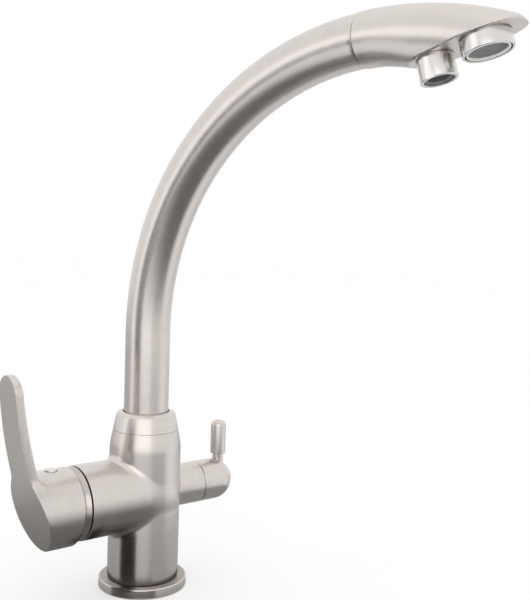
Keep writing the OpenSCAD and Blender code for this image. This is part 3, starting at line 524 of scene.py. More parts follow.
def edges_of(faces):
    """The edges of some faces, each once and always in the same order."""
    return list(dict.fromkeys(edge for face in faces for edge in face.edges))


def places_of(verts):
    """The places of some vertices, as rows."""
    return np.array([vert.co for vert in verts], float)


def as_object(name, bm):
    """Puts a finished mesh into the scene."""
    mesh = bpy.data.meshes.new(name)
    bm.to_mesh(mesh)
    bm.free()
    made = bpy.data.objects.new(name, mesh)
    bpy.context.scene.collection.objects.link(made)
    return made


def applied(item):
    """A new mesh of an object as its modifiers leave it."""
    return bpy.data.meshes.new_from_object(item.evaluated_get(bpy.context.evaluated_depsgraph_get()))


def remove(item):
    """Takes a helping object and its mesh away again."""
    mesh = item.data
    bpy.data.objects.remove(item)
    bpy.data.meshes.remove(mesh)


def keep_values(mesh, name, values):
    """Stores a value at each vertex, for a finish to read."""
    kept = mesh.attributes.new(name, "FLOAT", "POINT")
    kept.data.foreach_set("value", values.astype(np.float32))


def merge(bm):
    """Joins the points that lie in one place."""
    bmesh.ops.remove_doubles(bm, verts=bm.verts, dist=SAME_POINT)


def spin_round(bm, steps=TURNS):
    """Spins a whole profile once about +Z."""
    bmesh.ops.spin(bm, geom=bm.verts[:] + bm.edges[:], cent=(0, 0, 0), axis=(0, 0, 1), dvec=(0, 0, 0),
                   angle=2 * math.pi, steps=steps, use_merge=True)


def arc(bm, radius, height, first, last, steps):
    """Spins one vertex about a point on +Z, between two angles above the level, and gives both ends."""
    start = bm.verts.new((radius * math.cos(first), 0, height + radius * math.sin(first)))
    made = bmesh.ops.spin(bm, geom=[start], cent=(0, 0, height), axis=(0, -1, 0), dvec=(0, 0, 0),
                          angle=last - first, steps=steps, use_merge=False)["geom_last"]
    return start, of_kind(made, bmesh.types.BMVert)[0]


def add_piece(name, bm, place, body, node, material, sharp=40):
    """Turns a finished mesh into a piece that rides on a body and stands for a node."""
    if not bm.faces:
        raise RuntimeError(name + " has no faces")
    if place is not None:
        bm.transform(place)
    merge(bm)
    bmesh.ops.recalc_face_normals(bm, faces=bm.faces)
    piece = as_object(name, bm)
    piece.data.shade_smooth()
    piece.data.set_sharp_from_angle(angle=math.radians(sharp))
    piece.data.materials.append(material)
    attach(piece, body)
    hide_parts(node)
    return piece


def turned(corners, steps=TURNS):
    """A closed profile of (radius, height, rounding), rounded at its corners and spun about +Z."""
    bm = bmesh.new()
    points = [bm.verts.new((radius, 0, height)) for radius, height, _ in corners]
    bm.faces.new(points)
    for rounding in sorted({corner[2] for corner in corners if corner[2] > 0}):
        picked = [point for point, corner in zip(points, corners) if corner[2] == rounding]
        bmesh.ops.bevel(bm, geom=picked, offset=rounding, offset_type="OFFSET", segments=5,
                        profile=0.5, affect="VERTICES", material=-1)
    bmesh.ops.delete(bm, geom=bm.faces[:], context="FACES_ONLY")
    spin_round(bm, steps)
    merge(bm)
    no_area = 1e-14
    flat = [face for face in bm.faces if face.calc_area() < no_area]
    bmesh.ops.delete(bm, geom=flat, context="FACES_ONLY")
    return bm


def cylinder(bm, radius, low, high, place=None, steps=TURNS):
    """A closed cylinder along +Z."""
    middle = Matrix.Translation((0, 0, (low + high) / 2))
    where = middle if place is None else place @ middle
    bmesh.ops.create_cone(bm, cap_ends=True, segments=steps, radius1=radius, radius2=radius,
                          depth=high - low, matrix=where)


def one_skin(bm, voxel):
    """Joins overlapping forms into one even skin."""
    rough = as_object("rough_form", bm)
    modifier = rough.modifiers.new("Even skin", "REMESH")
    modifier.mode = "VOXEL"
    modifier.voxel_size = voxel
    skin = applied(rough)
    made = bmesh.new()
    made.from_mesh(skin)
    remove(rough)
    bpy.data.meshes.remove(skin)
    return made


def settle(bm, form, rounds=4):
    """Moves every vertex onto the surface where form is zero, and evens the mesh on the way."""
    step = 0.000002
    pulls = 6
    least_slope = 0.05
    for turn in range(rounds):
        if turn:
            bmesh.ops.smooth_vert(bm, verts=bm.verts, factor=0.5, use_axis_x=True, use_axis_y=True,
                                  use_axis_z=True)
        points = places_of(bm.verts)
        for _ in range(pulls):
            slopes = np.empty_like(points)
            for axis in range(3):
                shift = np.zeros(3)
                shift[axis] = step
                slopes[:, axis] = (form(points + shift) - form(points - shift)) / (2 * step)
            steep = np.maximum((slopes ** 2).sum(1), least_slope)
            points -= slopes * (form(points) / steep)[:, None]
        for vert, point in zip(bm.verts, points):
            vert.co = point
    return bm


def ease(value):
    """Held between 0 and 1, with a soft start and end."""
    value = np.clip(value, 0, 1)
    return value * value * (3 - 2 * value)


def fillet(first, second, radius):
    """Union of two forms with a hollow rounding between them."""
    near = np.hypot(np.maximum(radius - first, 0), np.maximum(radius - second, 0))
    return np.maximum(radius, np.minimum(first, second)) - near


def rounded_cut(first, second, radius):
    """What two forms share, with the edge between them rounded."""
    near = np.hypot(np.maximum(radius + first, 0), np.maximum(radius + second, 0))
    return np.minimum(-radius, np.maximum(first, second)) + near


def soft_cut(first, second, width):
    """What two nearly parallel forms share, with the bend between them softened."""
    near = np.maximum(width - np.abs(first - second), 0) / width
    return np.maximum(first, second) + near * near * width / 4


def slice_at(bm, point, normal, clear=True):
    """Cuts the mesh along a plane, and clears away what lies beyond it unless it is kept."""
    bmesh.ops.bisect_plane(bm, geom=bm.verts[:] + bm.edges[:] + bm.faces[:], dist=ON_PLANE,
                           plane_co=point, plane_no=normal, clear_outer=clear)


def trim(bm, point, normal):
    """Cuts away what lies beyond a plane and gives the edges of the cut."""
    slice_at(bm, point, normal)
    point, normal = Vector(point), Vector(normal)
    near = 2 * SAME_POINT
    return [edge for edge in bm.edges if edge.is_boundary
            and all(abs((vert.co - point).dot(normal)) < near for vert in edge.verts)]


def turn_on(bm, edges, place, steps):
    """Carries an open round edge on through (radius, height) steps about the place's +Z."""
    back = place.inverted()
    for radius, height in steps:
        made = bmesh.ops.extrude_edge_only(bm, edges=edges)["geom"]
        edges = [edge for edge in of_kind(made, bmesh.types.BMEdge) if edge.is_boundary]
        for vert in {vert for edge in edges for vert in edge.verts}:
            local = back @ vert.co
            flat = Vector((local.x, local.y, 0)).normalized() * radius
            vert.co = place @ Vector((flat.x, flat.y, height))
    return edges


def close(bm, edges=None):
    """Fills a round opening, or all that is open."""
    edges = [edge for edge in bm.edges if edge.is_boundary] if edges is None else edges
    bmesh.ops.edgeloop_fill(bm, edges=edges)


def drill(piece, radius, low, high, place, sharp):
    """Takes a round hole along a place's +Z out of a piece."""
    bm = bmesh.new()
    cylinder(bm, radius, low, high, place, FINE_TURNS)
    cutter = as_object("cutter", bm)
    modifier = piece.modifiers.new("Cut", "BOOLEAN")
    modifier.operation = "DIFFERENCE"
    modifier.solver = "EXACT"
    modifier.object = cutter
    made = applied(piece)
    bm = bmesh.new()
    bm.from_mesh(made)
    merge(bm)
    bmesh.ops.dissolve_degenerate(bm, edges=bm.edges, dist=SAME_POINT)
    bm.to_mesh(made)
    bm.free()
    piece.modifiers.clear()
    old = piece.data
    piece.data = made
    made.name = piece.name
    made.set_sharp_from_angle(angle=math.radians(sharp))
    remove(cutter)
    bpy.data.meshes.remove(old)


def taper_lean(sizes):
    """Change of the column's radius with height above the start of its taper."""
    return (sizes.collar_top_radius - sizes.column_radius) / (sizes.collar_top - sizes.taper_start)


# Operators, one for each piece or group of like pieces

class TAP_OT_body(bpy.types.Operator):
    """Model the body: column, barrel and boss in one casting"""
    bl_idname = "tap.body"
    bl_label = "Body"

    def form(self, sizes):
        """Distance outside the body."""
        lean = taper_lean(sizes)
        slope = math.cos(math.atan(lean))
        bend_width = 0.6 * MM
        narrower, narrowing_run = 0.5 * MM, 14 * MM
        off_axis, least_fillet = 1e-9, 1e-7

        def outside(points):
            x, y, z = points.T
            up = z - sizes.valve_height
            round_column = np.maximum(np.hypot(x, y), off_axis)
            upright = round_column - sizes.column_radius
            narrowing = (upright - lean * (z - sizes.taper_start)) * slope
            column = soft_cut(upright, narrowing, bend_width)
            barrel_radius = sizes.barrel_radius - narrower * ease((x + narrowing_run) / narrowing_run)
            round_side = np.maximum(np.hypot(y, up), off_axis)
            barrel = np.hypot(np.maximum(x, 0), round_side) - barrel_radius
            boss = np.hypot(np.maximum(-x, 0), round_side) - sizes.boss_radius
            across = np.clip(1 - y * y / (round_column * round_side), 0, 1)
            rounding = sizes.barrel_fillet * across + sizes.front_fillet * (1 - across)
            whole = fillet(column, barrel, rounding)
            return fillet(whole, boss, sizes.boss_fillet * across + least_fillet)

        return outside

    def underside(self, bm, edges, sizes):
        """Closes the spigot with its inlets and stud holes."""
        holes = [(place, sizes.hose_radius, HOSE_DEPTH) for place in HOSE_PLACES]
        holes += [(place, sizes.stud_radius, STUD_DEPTH) for place in STUD_PLACES]
        lead_in = 0.5 * MM
        rims = []
        for (x, y), radius, depth in holes:
            place = Matrix.Translation((x, y, 0))
            verts = bmesh.ops.create_circle(bm, radius=radius, segments=FINE_TURNS, matrix=place)["verts"]
            rim = list(dict.fromkeys(edge for vert in verts for edge in vert.link_edges))
            rims.append((rim, place, radius - lead_in, depth))
        outline = edges + [edge for rim in rims for edge in rim[0]]
        bmesh.ops.triangle_fill(bm, use_beauty=True, use_dissolve=False, edges=outline, normal=(0, 0, -1))
        for rim, place, bore, depth in rims:
            close(bm, turn_on(bm, rim, place, [(bore, lead_in), (bore, depth)]))

    def barrel_bore(self, bm, scene, sizes):
        """The barrel's rim, its step for the round cap and the cartridge's bore."""
        radius, reach, edge = sizes.barrel_radius, sizes.barrel_reach, sizes.edge
        step, seat = reach - 2.5 * MM, reach - 5 * MM
        lip, step_radius = radius - 1.2 * MM, radius - 1.4 * MM
        nut_bore, cartridge_bore, floor = radius - 3.1 * MM, 17.85 * MM, 19 * MM
        rim = trim(bm, (edge - reach, 0, 0), (-1, 0, 0))
        close(bm, turn_on(bm, rim, mixer_frame(scene), [
            (radius - edge, reach), (lip, reach), (step_radius, step), (nut_bore, step), (nut_bore, seat),
            (cartridge_bore, seat), (cartridge_bore, floor)]))

    def boss_bore(self, bm, scene, sizes):
        """The boss's rim and the filter valve's bore."""
        reach, edge = sizes.boss_reach, sizes.edge
        bore, floor = 8.6 * MM, 8 * MM
        rim = trim(bm, (reach - edge, 0, 0), (1, 0, 0))
        close(bm, turn_on(bm, rim, filter_frame(scene), [
            (sizes.boss_radius - edge, reach), (bore, reach), (bore, floor)]))

    def spout_bore(self, bm, sizes):
        """The edge at the collar's seam, the collar's thread and the spout joint's bore."""
        level = sizes.seam_height - 0.08 * MM
        edge, side = 0.1 * MM, 0.12 * MM
        thread, thread_floor, bore, floor = 19 * MM, 94 * MM, 17.6 * MM, 76.5 * MM
        rim = trim(bm, (0, 0, level - edge), (0, 0, 1))
        top = sum(vert.co.to_2d().length for part in rim for vert in part.verts) / (2 * len(rim))
        close(bm, turn_on(bm, rim, Matrix.Identity(4), [
            (top - side, level), (thread, level), (thread, thread_floor), (bore, thread_floor),
            (bore, floor)]))

    def foot(self, bm, sizes):
        """The narrow step over the flange and the spigot inside it."""
        edge, ledge, clear = 0.2 * MM, 1.2 * MM, 0.5 * MM
        radius, level = sizes.column_radius - edge, sizes.foot_height - edge
        rim = trim(bm, (0, 0, sizes.foot_height), (0, 0, -1))
        return turn_on(bm, rim, Matrix.Identity(4), [
            (radius, level), (radius - ledge, level), (sizes.spigot_radius, sizes.flange_height - clear),
            (sizes.spigot_radius, 0)])

    def execute(self, context):
        scene = context.scene
        sizes = scene.tap_body
        low, spare, voxel = 2 * MM, 5 * MM, 0.6 * MM
        bm = bmesh.new()
        cylinder(bm, sizes.column_radius, low, sizes.seam_height + spare)
        cylinder(bm, sizes.barrel_radius, 0, sizes.barrel_reach + spare, mixer_frame(scene))
        cylinder(bm, sizes.boss_radius, 0, sizes.boss_reach + spare, filter_frame(scene))
        bm = settle(one_skin(bm, voxel), self.form(sizes))
        self.barrel_bore(bm, scene, sizes)
        self.boss_bore(bm, scene, sizes)
        self.spout_bore(bm, sizes)
        self.underside(bm, self.foot(bm, sizes), sizes)
        finish = satin_body("satin_nickel_body", scene.tap_finishes, sizes)
        add_piece("body_casting", bm, None, "body", "tap_body", finish, sharp=30)
        return {"FINISHED"}


class TAP_OT_base(bpy.types.Operator):
    """Model the base flange"""
    bl_idname = "tap.base"
    bl_label = "Base flange"

    def execute(self, context):
        sizes = context.scene.tap_body
        finish = satin("satin_nickel_flange", context.scene.tap_finishes, "Z")
        radius, height = sizes.flange_radius, sizes.flange_height
        hole = sizes.spigot_radius + 0.3 * MM
        low_edge, hole_edge, top_edge = 0.25 * MM, 0.15 * MM, 1.0 * MM
        groove_in, groove_out, groove = 22.4 * MM, 25.4 * MM, 2 * MM
        bm = turned([
            (radius, low_edge, 0), (radius, height, top_edge), (hole, height, hole_edge),
            (hole, 0, hole_edge), (groove_in, 0, 0), (groove_in, groove, 0), (groove_out, groove, 0),
            (groove_out, 0, 0), (radius - low_edge, 0, 0)])
        add_piece("base_ring", bm, None, "body", "base_flange", finish)
        return {"FINISHED"}


class TAP_OT_collar(bpy.types.Operator):
    """Model the collar that holds the spout in the body"""
    bl_idname = "tap.collar"
    bl_label = "Collar"

    def execute(self, context):
        sizes = context.scene.tap_body
        low = sizes.column_radius + taper_lean(sizes) * (sizes.seam_height - sizes.taper_start)
        hole, top, level = sizes.collar_hole, sizes.collar_top, sizes.seam_height + 0.05 * MM
        edge, top_round, hole_round = 0.1 * MM, 2.4 * MM, 0.3 * MM
        bore, thread, lip, foot = 17.35 * MM, 18.85 * MM, 107.8 * MM, 94.3 * MM
        bm = turned([
            (hole, lip, 0), (bore, lip, 0), (bore, foot, 0), (thread, foot, 0), (thread, level, 0),
            (low - edge, level, 0), (low, level + edge, 0), (sizes.collar_top_radius, top, top_round),
            (hole, top, hole_round)])
        finish = satin("satin_nickel_collar", context.scene.tap_finishes, "Z")
        add_piece("collar_ring", bm, None, "body", "spout_collar", finish, sharp=30)
        return {"FINISHED"}


class TAP_OT_round_cap(bpy.types.Operator):
    """Model the round cap between barrel and lever"""
    bl_idname = "tap.round_cap"
    bl_label = "Round cap"

    def execute(self, context):
        scene = context.scene
        sizes = scene.tap_lever
        gap, rows = 1.2 * MM, 40
        seat = scene.tap_body.barrel_reach + gap - sizes.pivot
        bm = bmesh.new()
        ends = []
        for radius in (sizes.dome_radius, sizes.dome_radius - sizes.dome_wall):
            first, last = math.asin(seat / radius), math.acos(sizes.dome_hole / radius)
            ends.append(arc(bm, radius, sizes.pivot, first, last, rows))
        for outer, inner in zip(*ends):
            bm.edges.new((outer, inner))
        spin_round(bm)
        # The cap's darker colour is painted shade.
        finish = satin_cap("satin_cap", scene.tap_finishes)
        add_piece("round_cap", bm, mixer_frame(scene), "body", "dome_cap", finish)
        return {"FINISHED"}


class TAP_OT_lever(bpy.types.Operator):
    """Model the mixer lever with its skirt and blade"""
    bl_idname = "tap.lever"
    bl_label = "Mixer lever"

    def bend(self, sizes):
        """How far out the face starts to curve, and the cosine and sine of its tilt."""
        tilt = sizes.face_tilt
        return sizes.face_out + sizes.curve_start * math.tan(tilt), math.cos(tilt), math.sin(tilt)

    def half_width(self, sizes, up):
        """Half the blade's width at a height, without its round tip."""
        run = sizes.blade_top - sizes.blade_tip - sizes.curve_start
        narrow = np.clip((up - sizes.curve_start) / run, 0, 1)
        return sizes.blade_root + (sizes.blade_tip - sizes.blade_root) * narrow

    def face(self, sizes):
        """Distance in front of the lever's face."""
        bend, cosine, sine = self.bend(sizes)

        def in_front(points):
            up, out = points[:, 0] - sizes.curve_start, points[:, 2] - bend
            along, off = up * cosine + out * sine, out * cosine - up * sine
            curved = np.hypot(along, off + sizes.blade_curve) - sizes.blade_curve
            return np.where(along < 0, off, curved)

        return in_front

    def form(self, sizes):
        """Distance outside the lever."""
        in_front = self.face(sizes)
        tip = sizes.blade_top - sizes.blade_tip
        skirt_edge, back_edge, hub_edge = 0.6 * MM, 1.2 * MM, 0.4 * MM
        side_fillet, fillet_spread = 3 * MM, 1.25

        def outside(points):
            up, across, out = points.T
            face = in_front(points)
            skirt = np.hypot(up + sizes.skirt_drop, across) - sizes.skirt_radius
            inner = -(up * math.sin(sizes.skirt_slant) + (out - sizes.skirt_in) * math.cos(sizes.skirt_slant))
            skirt = rounded_cut(skirt, inner, skirt_edge)
            straight = np.abs(across) - self.half_width(sizes, up)
            side = np.where(up < tip, straight, np.hypot(up - tip, across) - sizes.blade_tip)
            blade = np.maximum(rounded_cut(side, -(face + sizes.blade_thickness), back_edge), -up)
            middle = ease(fillet_spread - np.abs(across) / sizes.blade_root)
            hollow = side_fillet + (sizes.blade_fillet - side_fillet) * middle
            whole = rounded_cut(fillet(skirt, blade, hollow), face, sizes.face_edge)
            away = np.sqrt(up ** 2 + across ** 2 + (out - sizes.pivot) ** 2)
            return rounded_cut(whole, sizes.hub_radius - away, hub_edge)

        return outside

    def rough(self, sizes):
        """Skirt and blade as plain forms, close to the finished ones."""
        bend, cosine, sine = self.bend(sizes)
        spare, short, cuts = 9 * MM, 0.4 * MM, 60
        bm = bmesh.new()
        drop = Matrix.Translation((-sizes.skirt_drop, 0, 0))
        cylinder(bm, sizes.skirt_radius, sizes.skirt_in, sizes.face_out + spare, drop)
        slice_at(bm, (sizes.curve_start, 0, bend), (-sine, 0, cosine))
        close(bm)
        cube = bmesh.ops.create_cube(bm, size=1.0)["verts"]
        long_edges = dict.fromkeys(edge for vert in cube for edge in vert.link_edges
                                   if edge.verts[0].co.x != edge.verts[1].co.x)
        bmesh.ops.subdivide_edges(bm, edges=list(long_edges), cuts=cuts, use_grid_fill=True)
        tip = sizes.blade_top - sizes.blade_tip
        far_out = 0.25
        for vert in bm.verts:
            # The cube is still one metre wide, so what lies near the axis is the skirt
            if abs(vert.co.y) < far_out:
                continue
            up = (vert.co.x + 0.5) * (sizes.blade_top - short)
            half = self.half_width(sizes, up)
            if up > tip:
                half = math.sqrt(sizes.blade_tip ** 2 - (up - tip) ** 2)
            along = (up - sizes.curve_start) / cosine
            dip = max(along, 0) ** 2 / (2 * sizes.blade_curve)
            out = bend + along * sine - dip * cosine
            vert.co = (up, half * 2 * vert.co.y, out if vert.co.z > 0 else out - sizes.blade_thickness)
        return bm

    def execute(self, context):
        scene = context.scene
        sizes = scene.tap_lever
        voxel, sharp, rounds = 0.55 * MM, 35, 5
        bm = settle(one_skin(self.rough(sizes), voxel), self.form(sizes), rounds)
        finish = satin_lever("satin_nickel_lever", scene.tap_finishes)
        place = mixer_frame(scene)
        piece = add_piece("lever_handle", bm, place, "lever", "mixer_lever", finish, sharp)
        high = sizes.skirt_radius + 2 * MM
        drill(piece, sizes.plug_radius + sizes.plug_gap, sizes.plug_seat, high, plug_frame(scene), sharp)
        back = np.array(place.inverted())
        points = places_of(piece.data.vertices) @ back[:3, :3].T + back[:3, 3]
        depth = -self.face(sizes)(points)
        matt, fade = 0.105 * MM, 0.35 * MM
        keep_values(piece.data, "face", np.clip(1 - (depth - matt) / fade, 0, 1))
        return {"FINISHED"}


class TAP_OT_plug(bpy.types.Operator):
    """Model the index plug on the lever's skirt"""
    bl_idname = "tap.plug"
    bl_label = "Index plug"

    def execute(self, context):
        scene = context.scene
        sizes = scene.tap_lever
        radius, seat, top = sizes.plug_radius, sizes.plug_seat, sizes.plug_top
        crown, edge = 0.15 * MM, 0.6 * MM
        bm = turned([(0, seat, 0), (radius, seat, 0), (radius, top - crown, edge), (0, top, 0)], FINE_TURNS)
        finish = bright_nickel("bright_nickel_plug", scene.tap_finishes)
        add_piece("plug_cap", bm, plug_frame(scene), "lever", "index_plug", finish)
        return {"FINISHED"}


class TAP_OT_filter(bpy.types.Operator):
    """Model the filter knob and its pin"""
    bl_idname = "tap.filter"
    bl_label = "Filter knob and pin"

    def execute(self, context):
        scene = context.scene
        sizes, radius, edge = scene.tap_filter, scene.tap_body.boss_radius, scene.tap_body.edge
        rows, sharp = 32, 30
        hole, floor, high = sizes.pin_neck + 0.3 * MM, 9.4 * MM, radius + 4 * MM
        bm = bmesh.new()
        flank = [(0, sizes.knob_in), (radius - edge, sizes.knob_in), (radius, sizes.knob_in + edge)]
        points = [bm.verts.new((across, 0, out)) for across, out in flank]
        points.append(arc(bm, radius, sizes.knob_centre, 0, math.pi / 2, rows)[0])
        for first, second in zip(points, points[1:]):
            bm.edges.new((first, second))
        spin_round(bm)
        finish = satin("satin_nickel_knob", scene.tap_finishes, "X")
        place = filter_frame(scene)
        knob = add_piece("knob_shell", bm, place, "filter", "filter_knob", finish, sharp)
        drill(knob, hole, floor, high, pin_frame(scene), sharp)
        low, shoulder, top = 9.5 * MM, sizes.pin_shoulder, sizes.pin_top
        neck_round, shoulder_round = 0.3 * MM, 0.45 * MM
        bm = turned([
            (0, low, 0), (sizes.pin_neck, low, 0), (sizes.pin_neck, shoulder, neck_round),
            (sizes.pin_radius, shoulder, shoulder_round), (sizes.pin_radius, top, sizes.pin_round),
            (0, top, 0)], FINE_TURNS)
        finish = satin("satin_nickel_pin", scene.tap_finishes, "Z")
        add_piece("pin_handle", bm, pin_frame(scene), "filter", "filter_pin", finish)
        return {"FINISHED"}


class TAP_OT_tube(bpy.types.Operator):
    """Model the bent spout tube"""
    bl_idname = "tap.tube"
    bl_label = "Spout tube"

    def execute(self, context):
        scene = context.scene
        sizes = scene.tap_spout
        lifts, bend_steps = 24, 96
        bm = bmesh.new()
        start = Matrix.Translation((0, 0, sizes.tube_foot))
        bmesh.ops.create_circle(bm, radius=sizes.tube_radius, segments=TUBE_TURNS, matrix=start)
        made = bmesh.ops.extrude_edge_only(bm, edges=bm.edges[:])["geom"]
        bore = 1 - sizes.tube_wall / sizes.tube_radius
        bmesh.ops.scale(bm, verts=of_kind(made, bmesh.types.BMVert), vec=(bore, bore, 1))
        wall = bm.faces[:]
        lift = (sizes.rise - sizes.tube_foot) / lifts
        for _ in range(lifts):
            made = bmesh.ops.extrude_face_region(bm, geom=wall + edges_of(wall))["geom"]
            wall = of_kind(made, bmesh.types.BMFace)
            moved = of_kind(made, bmesh.types.BMVert)
            bmesh.ops.translate(bm, verts=moved, vec=(0, 0, lift))
        turn = sizes.bend_angle - sizes.seam / sizes.bend_radius
        made = bmesh.ops.spin(bm, geom=moved + edges_of(wall) + wall, cent=(sizes.bend_radius, 0, sizes.rise),
                              axis=(0, 1, 0), dvec=(0, 0, 0), angle=turn, steps=bend_steps,
                              use_merge=False)["geom_last"]
        end = of_kind(made, bmesh.types.BMFace)
        middle = sum((face.calc_center_median() for face in end), Vector()) / len(end)
        mid_wall = sizes.tube_radius - sizes.tube_wall / 2
        rim = [edge for edge in edges_of(end)
               if all((vert.co - middle).length > mid_wall for vert in edge.verts)]
        bmesh.ops.bevel(bm, geom=rim, offset=sizes.seam_edge, offset_type="OFFSET", segments=2, profile=0.5,
                        affect="EDGES", material=-1)
        finish = satin_tube("satin_nickel_tube", scene.tap_finishes)
        piece = add_piece("spout_pipe", bm, None, "spout", "spout_tube", finish)
        points = places_of(piece.data.vertices)
        over = points[:, 2] - sizes.rise
        round_bend = np.arctan2(over, sizes.bend_radius - points[:, 0]) * sizes.bend_radius
        along = np.where(over > 0, sizes.rise + round_bend, points[:, 2])
        keep_values(piece.data, "along", along)
        piece.data.transform(spout_frame(scene))
        return {"FINISHED"}


class TAP_OT_head(bpy.types.Operator):
    """Model the spout head with its outlet face"""
    bl_idname = "tap.head"
    bl_label = "Spout head"
    boss_depth = 8 * MM

    def form(self, scene):
        """Distance outside the head."""
        sizes = scene.tap_spout
        outlet = np.array(outlet_in_head(scene))
        origin, back, normal = outlet[:3, 3], outlet[:3, 0], outlet[:3, 2]
        nozzle = origin + back * sizes.outlet_pitch
        swell_start, swell_run, tip_round, boss_fillet = 6 * MM, 26 * MM, 5 * MM, 2.5 * MM

        def outside(points):
            x, y, z = points.T
            off_line = np.hypot(x - sizes.head_curve, z) - sizes.head_curve
            swell = np.clip((z - swell_start) / swell_run, 0, 1)
            low = np.clip(-off_line / sizes.head_radius, 0, 1)
            off_line = off_line + sizes.head_chin * ease(swell) * low * low
            full = 2 + (sizes.head_flank - 2) * np.where(off_line < 0, swell, 0)
            section = (np.abs(off_line) ** full + np.abs(y) ** full) ** (1 / full) - sizes.head_radius
            section = rounded_cut(section, z - sizes.head_end, tip_round)
            face = (points - origin) @ normal
            from_nozzle = points - nozzle
            away = from_nozzle - np.outer(from_nozzle @ normal, normal)
            boss = np.maximum(np.linalg.norm(away, axis=1) - sizes.small_boss, -(face + self.boss_depth))
            return rounded_cut(fillet(section, boss, boss_fillet), face, sizes.head_edge)

        return outside

    def execute(self, context):
        scene = context.scene
        sizes = scene.tap_spout
        spare, bend_angle, bend_steps, voxel = 5 * MM, 0.47, 60, 0.5 * MM
        bm = bmesh.new()
        bmesh.ops.create_circle(bm, cap_ends=True, radius=sizes.head_radius, segments=TUBE_TURNS,
                                matrix=Matrix.Translation((0, 0, -spare)))
        made = bmesh.ops.extrude_face_region(bm, geom=bm.faces[:])["geom"]
        end = of_kind(made, bmesh.types.BMFace)
        moved = of_kind(made, bmesh.types.BMVert)
        bmesh.ops.translate(bm, verts=moved, vec=(0, 0, spare))
        bmesh.ops.spin(bm, geom=moved + edges_of(end) + end, cent=(sizes.head_curve, 0, 0), axis=(0, 1, 0),
                       dvec=(0, 0, 0), angle=bend_angle, steps=bend_steps, use_merge=False)
        bmesh.ops.recalc_face_normals(bm, faces=bm.faces)
        outlet = outlet_in_head(scene)
        slice_at(bm, outlet.translation, outlet.col[2].to_3d())
        close(bm)
        nozzle = outlet @ Matrix.Translation((sizes.outlet_pitch, 0, 0))
        cylinder(bm, sizes.small_boss, -self.boss_depth, 0, nozzle)
        bm = settle(one_skin(bm, voxel), self.form(scene))
        edge, level, opening = sizes.seam_edge, SEAT_GAP, 12.4 * MM
        rim = trim(bm, (0, 0, edge), (0, 0, -1))
        close(bm, turn_on(bm, rim, Matrix.Identity(4), [(sizes.head_radius - edge, level), (opening, level)]))
        finish = satin("satin_nickel_head", scene.tap_finishes, "Y", contrast=0.8)
        place = bend_place(scene, sizes.bend_angle)
        add_piece("head_shell", bm, place, "spout", "spout_head", finish, sharp=30)
        return {"FINISHED"}


class TAP_OT_outlets(bpy.types.Operator):
    """Model the aerator and the filter nozzle in the outlet face"""
    bl_idname = "tap.outlets"
    bl_label = "Outlets"

    def housing(self, radius, height, opening, step, bore, depth, flat, turn):
        """A turned housing with two spanner flats."""
        wall, neck_top, shoulder, rim_round, lip_round = 0.9 * MM, 0.55 * MM, 0.7 * MM, 0.4 * MM, 0.2 * MM
        neck, thread, middle = radius - wall, opening - wall, height / 2
        bm = turned([
            (bore, depth, 0), (thread, depth, 0), (thread, SEAT_GAP, 0), (neck, SEAT_GAP, 0),
            (neck, neck_top, 0), (radius, shoulder, 0), (radius, middle, 0), (radius, height, rim_round),
            (opening, height, lip_round), (opening, step, 0), (bore, step, 0)])
        slice_at(bm, (0, 0, middle), (0, 0, 1), clear=False)
        for side in (1, -1):
            normal = Matrix.Rotation(turn, 3, "Z") @ Vector((side, 0, 0))
            slice_at(bm, normal * (radius - flat), normal, clear=False)
            for vert in bm.verts:
                over = vert.co.dot(normal) - (radius - flat)
                if over > 0 and vert.co.z > middle + SAME_POINT:
                    vert.co -= normal * over
        return bm

    def net(self, sizes):
        """Woven wires of the aerator, cut round."""
        bm = bmesh.new()
        cells = int(2 * sizes.mesh_radius / sizes.mesh_pitch) + 1
        bmesh.ops.create_grid(bm, x_segments=cells, y_segments=cells, size=cells * sizes.mesh_pitch / 2)
        rim, level, wire = sizes.mesh_radius - 0.2 * MM, 6.2 * MM, 0.42 * MM
        for number in range(TUBE_TURNS):
            turn = 2 * math.pi * number / TUBE_TURNS
            normal = Vector((math.cos(turn), math.sin(turn), 0))
            slice_at(bm, normal * rim, normal)
        bmesh.ops.translate(bm, verts=bm.verts, vec=(0, 0, level))
        bmesh.ops.wireframe(bm, faces=bm.faces, thickness=wire, use_boundary=True, use_replace=True)
        return bm

    def cup(self, sizes):
        """The aerator's moulded insert, with a seat for the wires."""
        outer, inner, ledge = 10.4 * MM, sizes.mesh_radius + 0.05 * MM, 1.2 * MM
        low, floor, seat, high, edge = 2.6 * MM, 3.6 * MM, 5.85 * MM, 7.4 * MM, 0.25 * MM
        return turned([
            (0, low, 0), (outer, low, 0), (outer, high, edge), (inner, high, edge), (inner, seat, 0),
            (inner - ledge, seat, 0), (inner - ledge, floor, 0), (0, floor, 0)])

    def execute(self, context):
        scene = context.scene
        sizes, finishes = scene.tap_spout, scene.tap_finishes
        place, small = outlet_frame(scene), nozzle_frame(scene)
        bright = bright_nickel("bright_nickel_outlets", finishes)
        bm = self.housing(
            sizes.main_radius, sizes.main_height, sizes.main_opening, step=1.6 * MM, bore=8.5 * MM,
            depth=-5 * MM, flat=sizes.flat_depth, turn=math.radians(40))
        add_piece("aerator_ring", bm, place, "spout", "aerator_housing", bright, sharp=25)
        bm = self.housing(
            sizes.small_radius, sizes.small_height, sizes.small_opening, step=3 * MM, bore=4.6 * MM,
            depth=-6.5 * MM, flat=sizes.flat_depth, turn=math.radians(90))
        add_piece("nozzle_ring", bm, small, "spout", "nozzle_housing", bright, sharp=25)
        white = moulded("white_plastic_insert", finishes.white_plastic, ROUGHNESS["white_plastic"])
        add_piece("aerator_cup", self.cup(sizes), place, "spout", "aerator_insert", white)
        steel = machined("steel_net", finishes.steel)
        add_piece("aerator_net", self.net(sizes), place, "spout", "aerator_mesh", steel)
        return {"FINISHED"}


